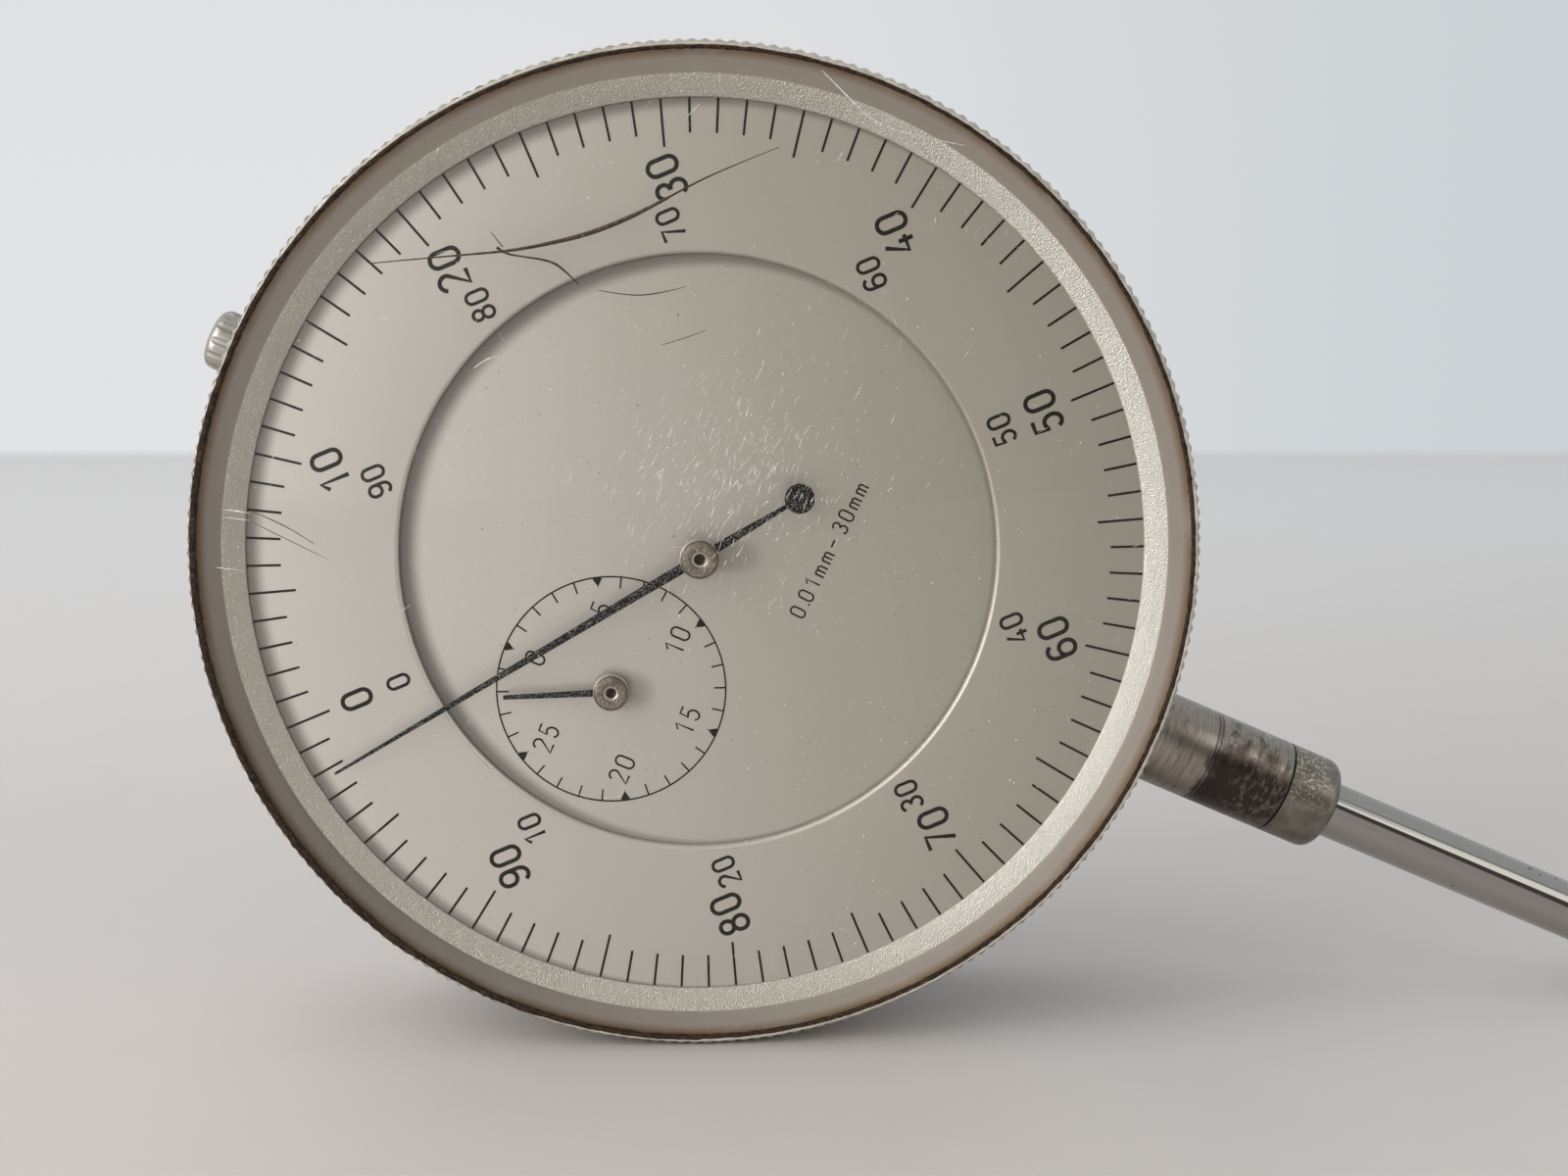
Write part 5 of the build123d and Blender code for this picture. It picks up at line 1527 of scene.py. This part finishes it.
scratchPiece = {
    "seed": 23,
    "count": 900,
    "reach": 36,
    "centre": (7.6, 0.4),
    "centreShare": 0.68,
    "centreSpread": 4.3,
    "sweep": 90.0,
    "sweepSpread": 11,
    "bow": 0.02,
    "width": (0.028, 0.040),
    "length": (0.05, 1.0),
    "dots": 300,
    "dotWidth": (0.035, 0.085),
    "lift": 0.55,  # times its width, so that a scratch stays inside the dome's outline
    "pale": [
        [(38.0, 6.3), (37.0, 3.6), (36.2, 1.7), (36.1, -0.4), (36.6, -3.1), (37.3, -6.0)],
        [(-10.5, 35.0), (-10.2, 34.2), (-10.0, 33.2)],
        [(-11.0, 34.7), (-10.5, 33.0)],
        [(-14.9, 34.0), (-14.3, 32.0)],
        [(30.7, 14.2), (32.0, 13.7)],
        [(7.1, 21.6), (8.3, 21.0), (8.7, 20.2)],
    ],
    "paleWidth": 0.12,
    "paleEnds": (0.05, 0.04),
    "paleLift": 0.07,
}


def makeScratches():
    size = scratchPiece
    draw = Random(size["seed"])
    strokes = []
    for number in range(size["count"]):
        if draw.random() < size["centreShare"]:
            across = draw.gauss(size["centre"][0], size["centreSpread"])
            up = draw.gauss(size["centre"][1], size["centreSpread"])
            turn = size["sweep"] + draw.gauss(0, size["sweepSpread"])
        else:
            across, up = onDial(size["reach"] * sqrt(draw.random()), draw.uniform(0, 360))
            turn = draw.uniform(0, 180)
        if hypot(across, up) > size["reach"]:
            continue
        length = size["length"][0] + draw.random() ** 2 * size["length"][1]
        dx, dz = onDial(length / 2, turn)
        bow = draw.uniform(-size["bow"], size["bow"])
        width = size["width"][0] + draw.random() ** 2 * size["width"][1]
        points = [(across - dx, up - dz), (across + bow, up + bow), (across + dx, up + dz)]
        strokes.append((points, [0.3 * width, width, 0.3 * width], size["lift"] * width))
    for number in range(size["dots"]):
        across, up = onDial(size["reach"] * sqrt(draw.random()), draw.uniform(0, 360))
        width = draw.uniform(*size["dotWidth"])
        points = [(across, up), (across + width, up), (across + 1.4 * width, up)]
        strokes.append((points, [width, width, 0.6 * width], size["lift"] * width))
    first, last = size["paleEnds"]
    for points in size["pale"]:
        widths = [first] + [size["paleWidth"]] * (len(points) - 2) + [last]
        strokes.append((points, widths, size["paleLift"]))
    makeDomeLines("crystalScratches", strokes, outsideDome, "scratch")


makeScratches()
print("cracks and scratches made")

viewSettings = {
    "place": Vector((19.4, -172.0, 56.5)) * mm,
    "right": Vector((0.398, -0.046, -0.916)),
    "forward": Vector((-0.116, 0.988, -0.100)),
    "lens": 47.31,
    "sensor": 36.0,
    "nearest": 0.005,
    "furthest": 20,
}
floorUp = Vector((0.917, -0.003, 0.399)).normalized()
floorAway = (viewSettings["forward"] - floorUp * viewSettings["forward"].dot(floorUp)).normalized()
floorSide = floorAway.cross(floorUp).normalized()
floorPoint = dial - floorUp * bezelOuter * mm


def makeCamera():
    bpy.ops.object.camera_add(location=viewSettings["place"])
    camera = bpy.context.object
    camera.name = "mainCamera"
    back = -viewSettings["forward"].normalized()
    up = back.cross(viewSettings["right"].normalized()).normalized()
    right = up.cross(back).normalized()
    camera.rotation_mode = "QUATERNION"
    camera.rotation_quaternion = Matrix((right, up, back)).transposed().to_quaternion()
    camera.data.lens = viewSettings["lens"]
    camera.data.sensor_width = viewSettings["sensor"]
    camera.data.clip_start = viewSettings["nearest"]
    camera.data.clip_end = viewSettings["furthest"]
    bpy.context.scene.camera = camera


makeCamera()

# The table's lengths are in metres. It runs from under the camera to its far edge.
tablePiece = {
    "colour": (0.510, 0.478, 0.458),
    "pale": (0.538, 0.508, 0.490),
    "speck": (0.3, 0.28, 0.28),
    "distant": (0.645, 0.642, 0.645),
    "distantFrom": 0.62,  # before the far edge
    "distantTo": 0.15,
    "near": 0.5,
    "far": 0.755,
    "soft": 0.045,
    "wide": 3.0,
}


# The table is seen from above only, so it never hides the object from below.
def tableMaterial():
    look = tablePiece
    made = newMaterial("paleTable")
    where = addNode("ShaderNodeTexCoord").outputs["Object"]
    blotches = grain(where, 4.0, 2.0, 0.4)
    fine = grain(where, 160.0, 3.0, 0.5)
    away = along(where, floorAway)
    edge = (viewSettings["place"] + floorAway * look["far"]).dot(floorAway)
    colour = tint(fade(blotches, 0.3, 0.7), look["colour"], look["pale"])
    distant = fade(away, edge - look["distantFrom"], edge - look["distantTo"])
    colour = tint(distant, colour, look["distant"])
    feed(made, colour=tint(times(fine, 0.08), colour, look["speck"]), rough=0.42, specular=0.35)
    below = addNode("ShaderNodeNewGeometry").outputs["Backfacing"]
    gone = most(below, fade(away, edge - look["soft"], edge))
    seen = addNode("ShaderNodeLightPath").outputs["Is Camera Ray"]
    return mixClear(made, times(seen, gone), (1, 1, 1, 1), False)


def makeTable():
    deselectAll()
    bpy.ops.mesh.primitive_grid_add(x_subdivisions=8, y_subdivisions=8, size=1)
    table = bpy.context.object
    table.name = "paleTableTop"
    camera = viewSettings["place"]
    foot = camera - floorUp * (camera - floorPoint).dot(floorUp)
    near = foot - floorAway * tablePiece["near"]
    far = foot + floorAway * tablePiece["far"]
    turn = Matrix((floorSide, floorAway, floorUp)).transposed().to_4x4()
    size = Matrix.Diagonal((tablePiece["wide"], (far - near).length, 1, 1))
    table.matrix_world = Matrix.Translation((near + far) / 2) @ turn @ size
    applyPlace(table)
    table.data.materials.append(tableMaterial())


makeTable()

worldSettings = {
    "roomLeft": (1.32, 1.30, 1.28),
    "roomRight": (0.10, 0.095, 0.09),
    "aboveLeft": (0.80, 0.80, 0.80),
    "aboveRight": (0.40, 0.40, 0.41),
    "strip": (1.6, 1.58, 1.52),
    "wallLow": (0.755, 0.765, 0.785),
    "wallHigh": (0.70, 0.70, 0.70),
    "wallRight": (0.60, 0.635, 0.66),
}


# A pale wall all round, and before the object a room that is bright on one side.
def makeWorld():
    look = worldSettings
    world = bpy.data.worlds.new("softStudio")
    bpy.context.scene.world = world
    background = beginTree(world).nodes["Background"]
    direction = addNode("ShaderNodeTexCoord").outputs["Generated"]
    height = along(direction, floorUp)
    sideways = along(direction, floorSide)
    front = fade(along(direction, -floorAway), 0.05, 0.45)
    room = tint(fade(sideways, -0.28, 0.30), look["roomLeft"], look["roomRight"])
    above = tint(fade(sideways, -0.4, 0.5), look["aboveLeft"], look["aboveRight"])
    room = tint(fade(height, 0.25, 0.75), room, above)
    slope = calc("DIVIDE", partOf(direction, "X"), most(times(partOf(direction, "Y"), -1.0), 0.02))
    strip = times(fade(slope, 0.62, 0.80), fade(slope, 2.4, 1.7), fade(partOf(direction, "Z"), -0.12, -0.26))
    wall = tint(fade(height, 0.02, 0.35), look["wallLow"], look["wallHigh"])
    wall = tint(fade(sideways, -0.15, 0.42), wall, look["wallRight"])
    around = tint(strip, tint(front, wall, room), look["strip"])
    seen = addNode("ShaderNodeLightPath").outputs["Is Camera Ray"]
    plug(background.inputs["Color"], tint(seen, around, wall))
    background.inputs["Strength"].default_value = 1.0


makeWorld()

# Each lamp stands to the side of the dial, up and away from it, in metres.
lampSettings = {
    "windowLeft": {"place": (-0.38, 0.12, -0.26), "size": (0.30, 0.26), "power": 1.1, "seen": True},
    "windowUpper": {"place": (-0.40, 0.45, -0.20), "size": (0.30, 0.30), "power": 0.8, "seen": True},
    "top": {"place": (-0.3, 0.9, 0.2), "size": (0.9, 0.7), "power": 2.4, "seen": False},
}


def makeLamps():
    for name, lamp in lampSettings.items():
        side, up, away = lamp["place"]
        place = dial + floorSide * side + floorUp * up + floorAway * away
        bpy.ops.object.light_add(type="AREA", location=place)
        light = bpy.context.object
        light.name = name
        light.data.shape = "RECTANGLE"
        light.data.size, light.data.size_y = lamp["size"]
        light.data.energy = lamp["power"]
        light.visible_glossy = lamp["seen"]
        light.rotation_mode = "QUATERNION"
        light.rotation_quaternion = (dial - place).to_track_quat("-Z", "Y")


makeLamps()
bpy.context.scene.view_settings.view_transform = "Standard"
print("studio made")
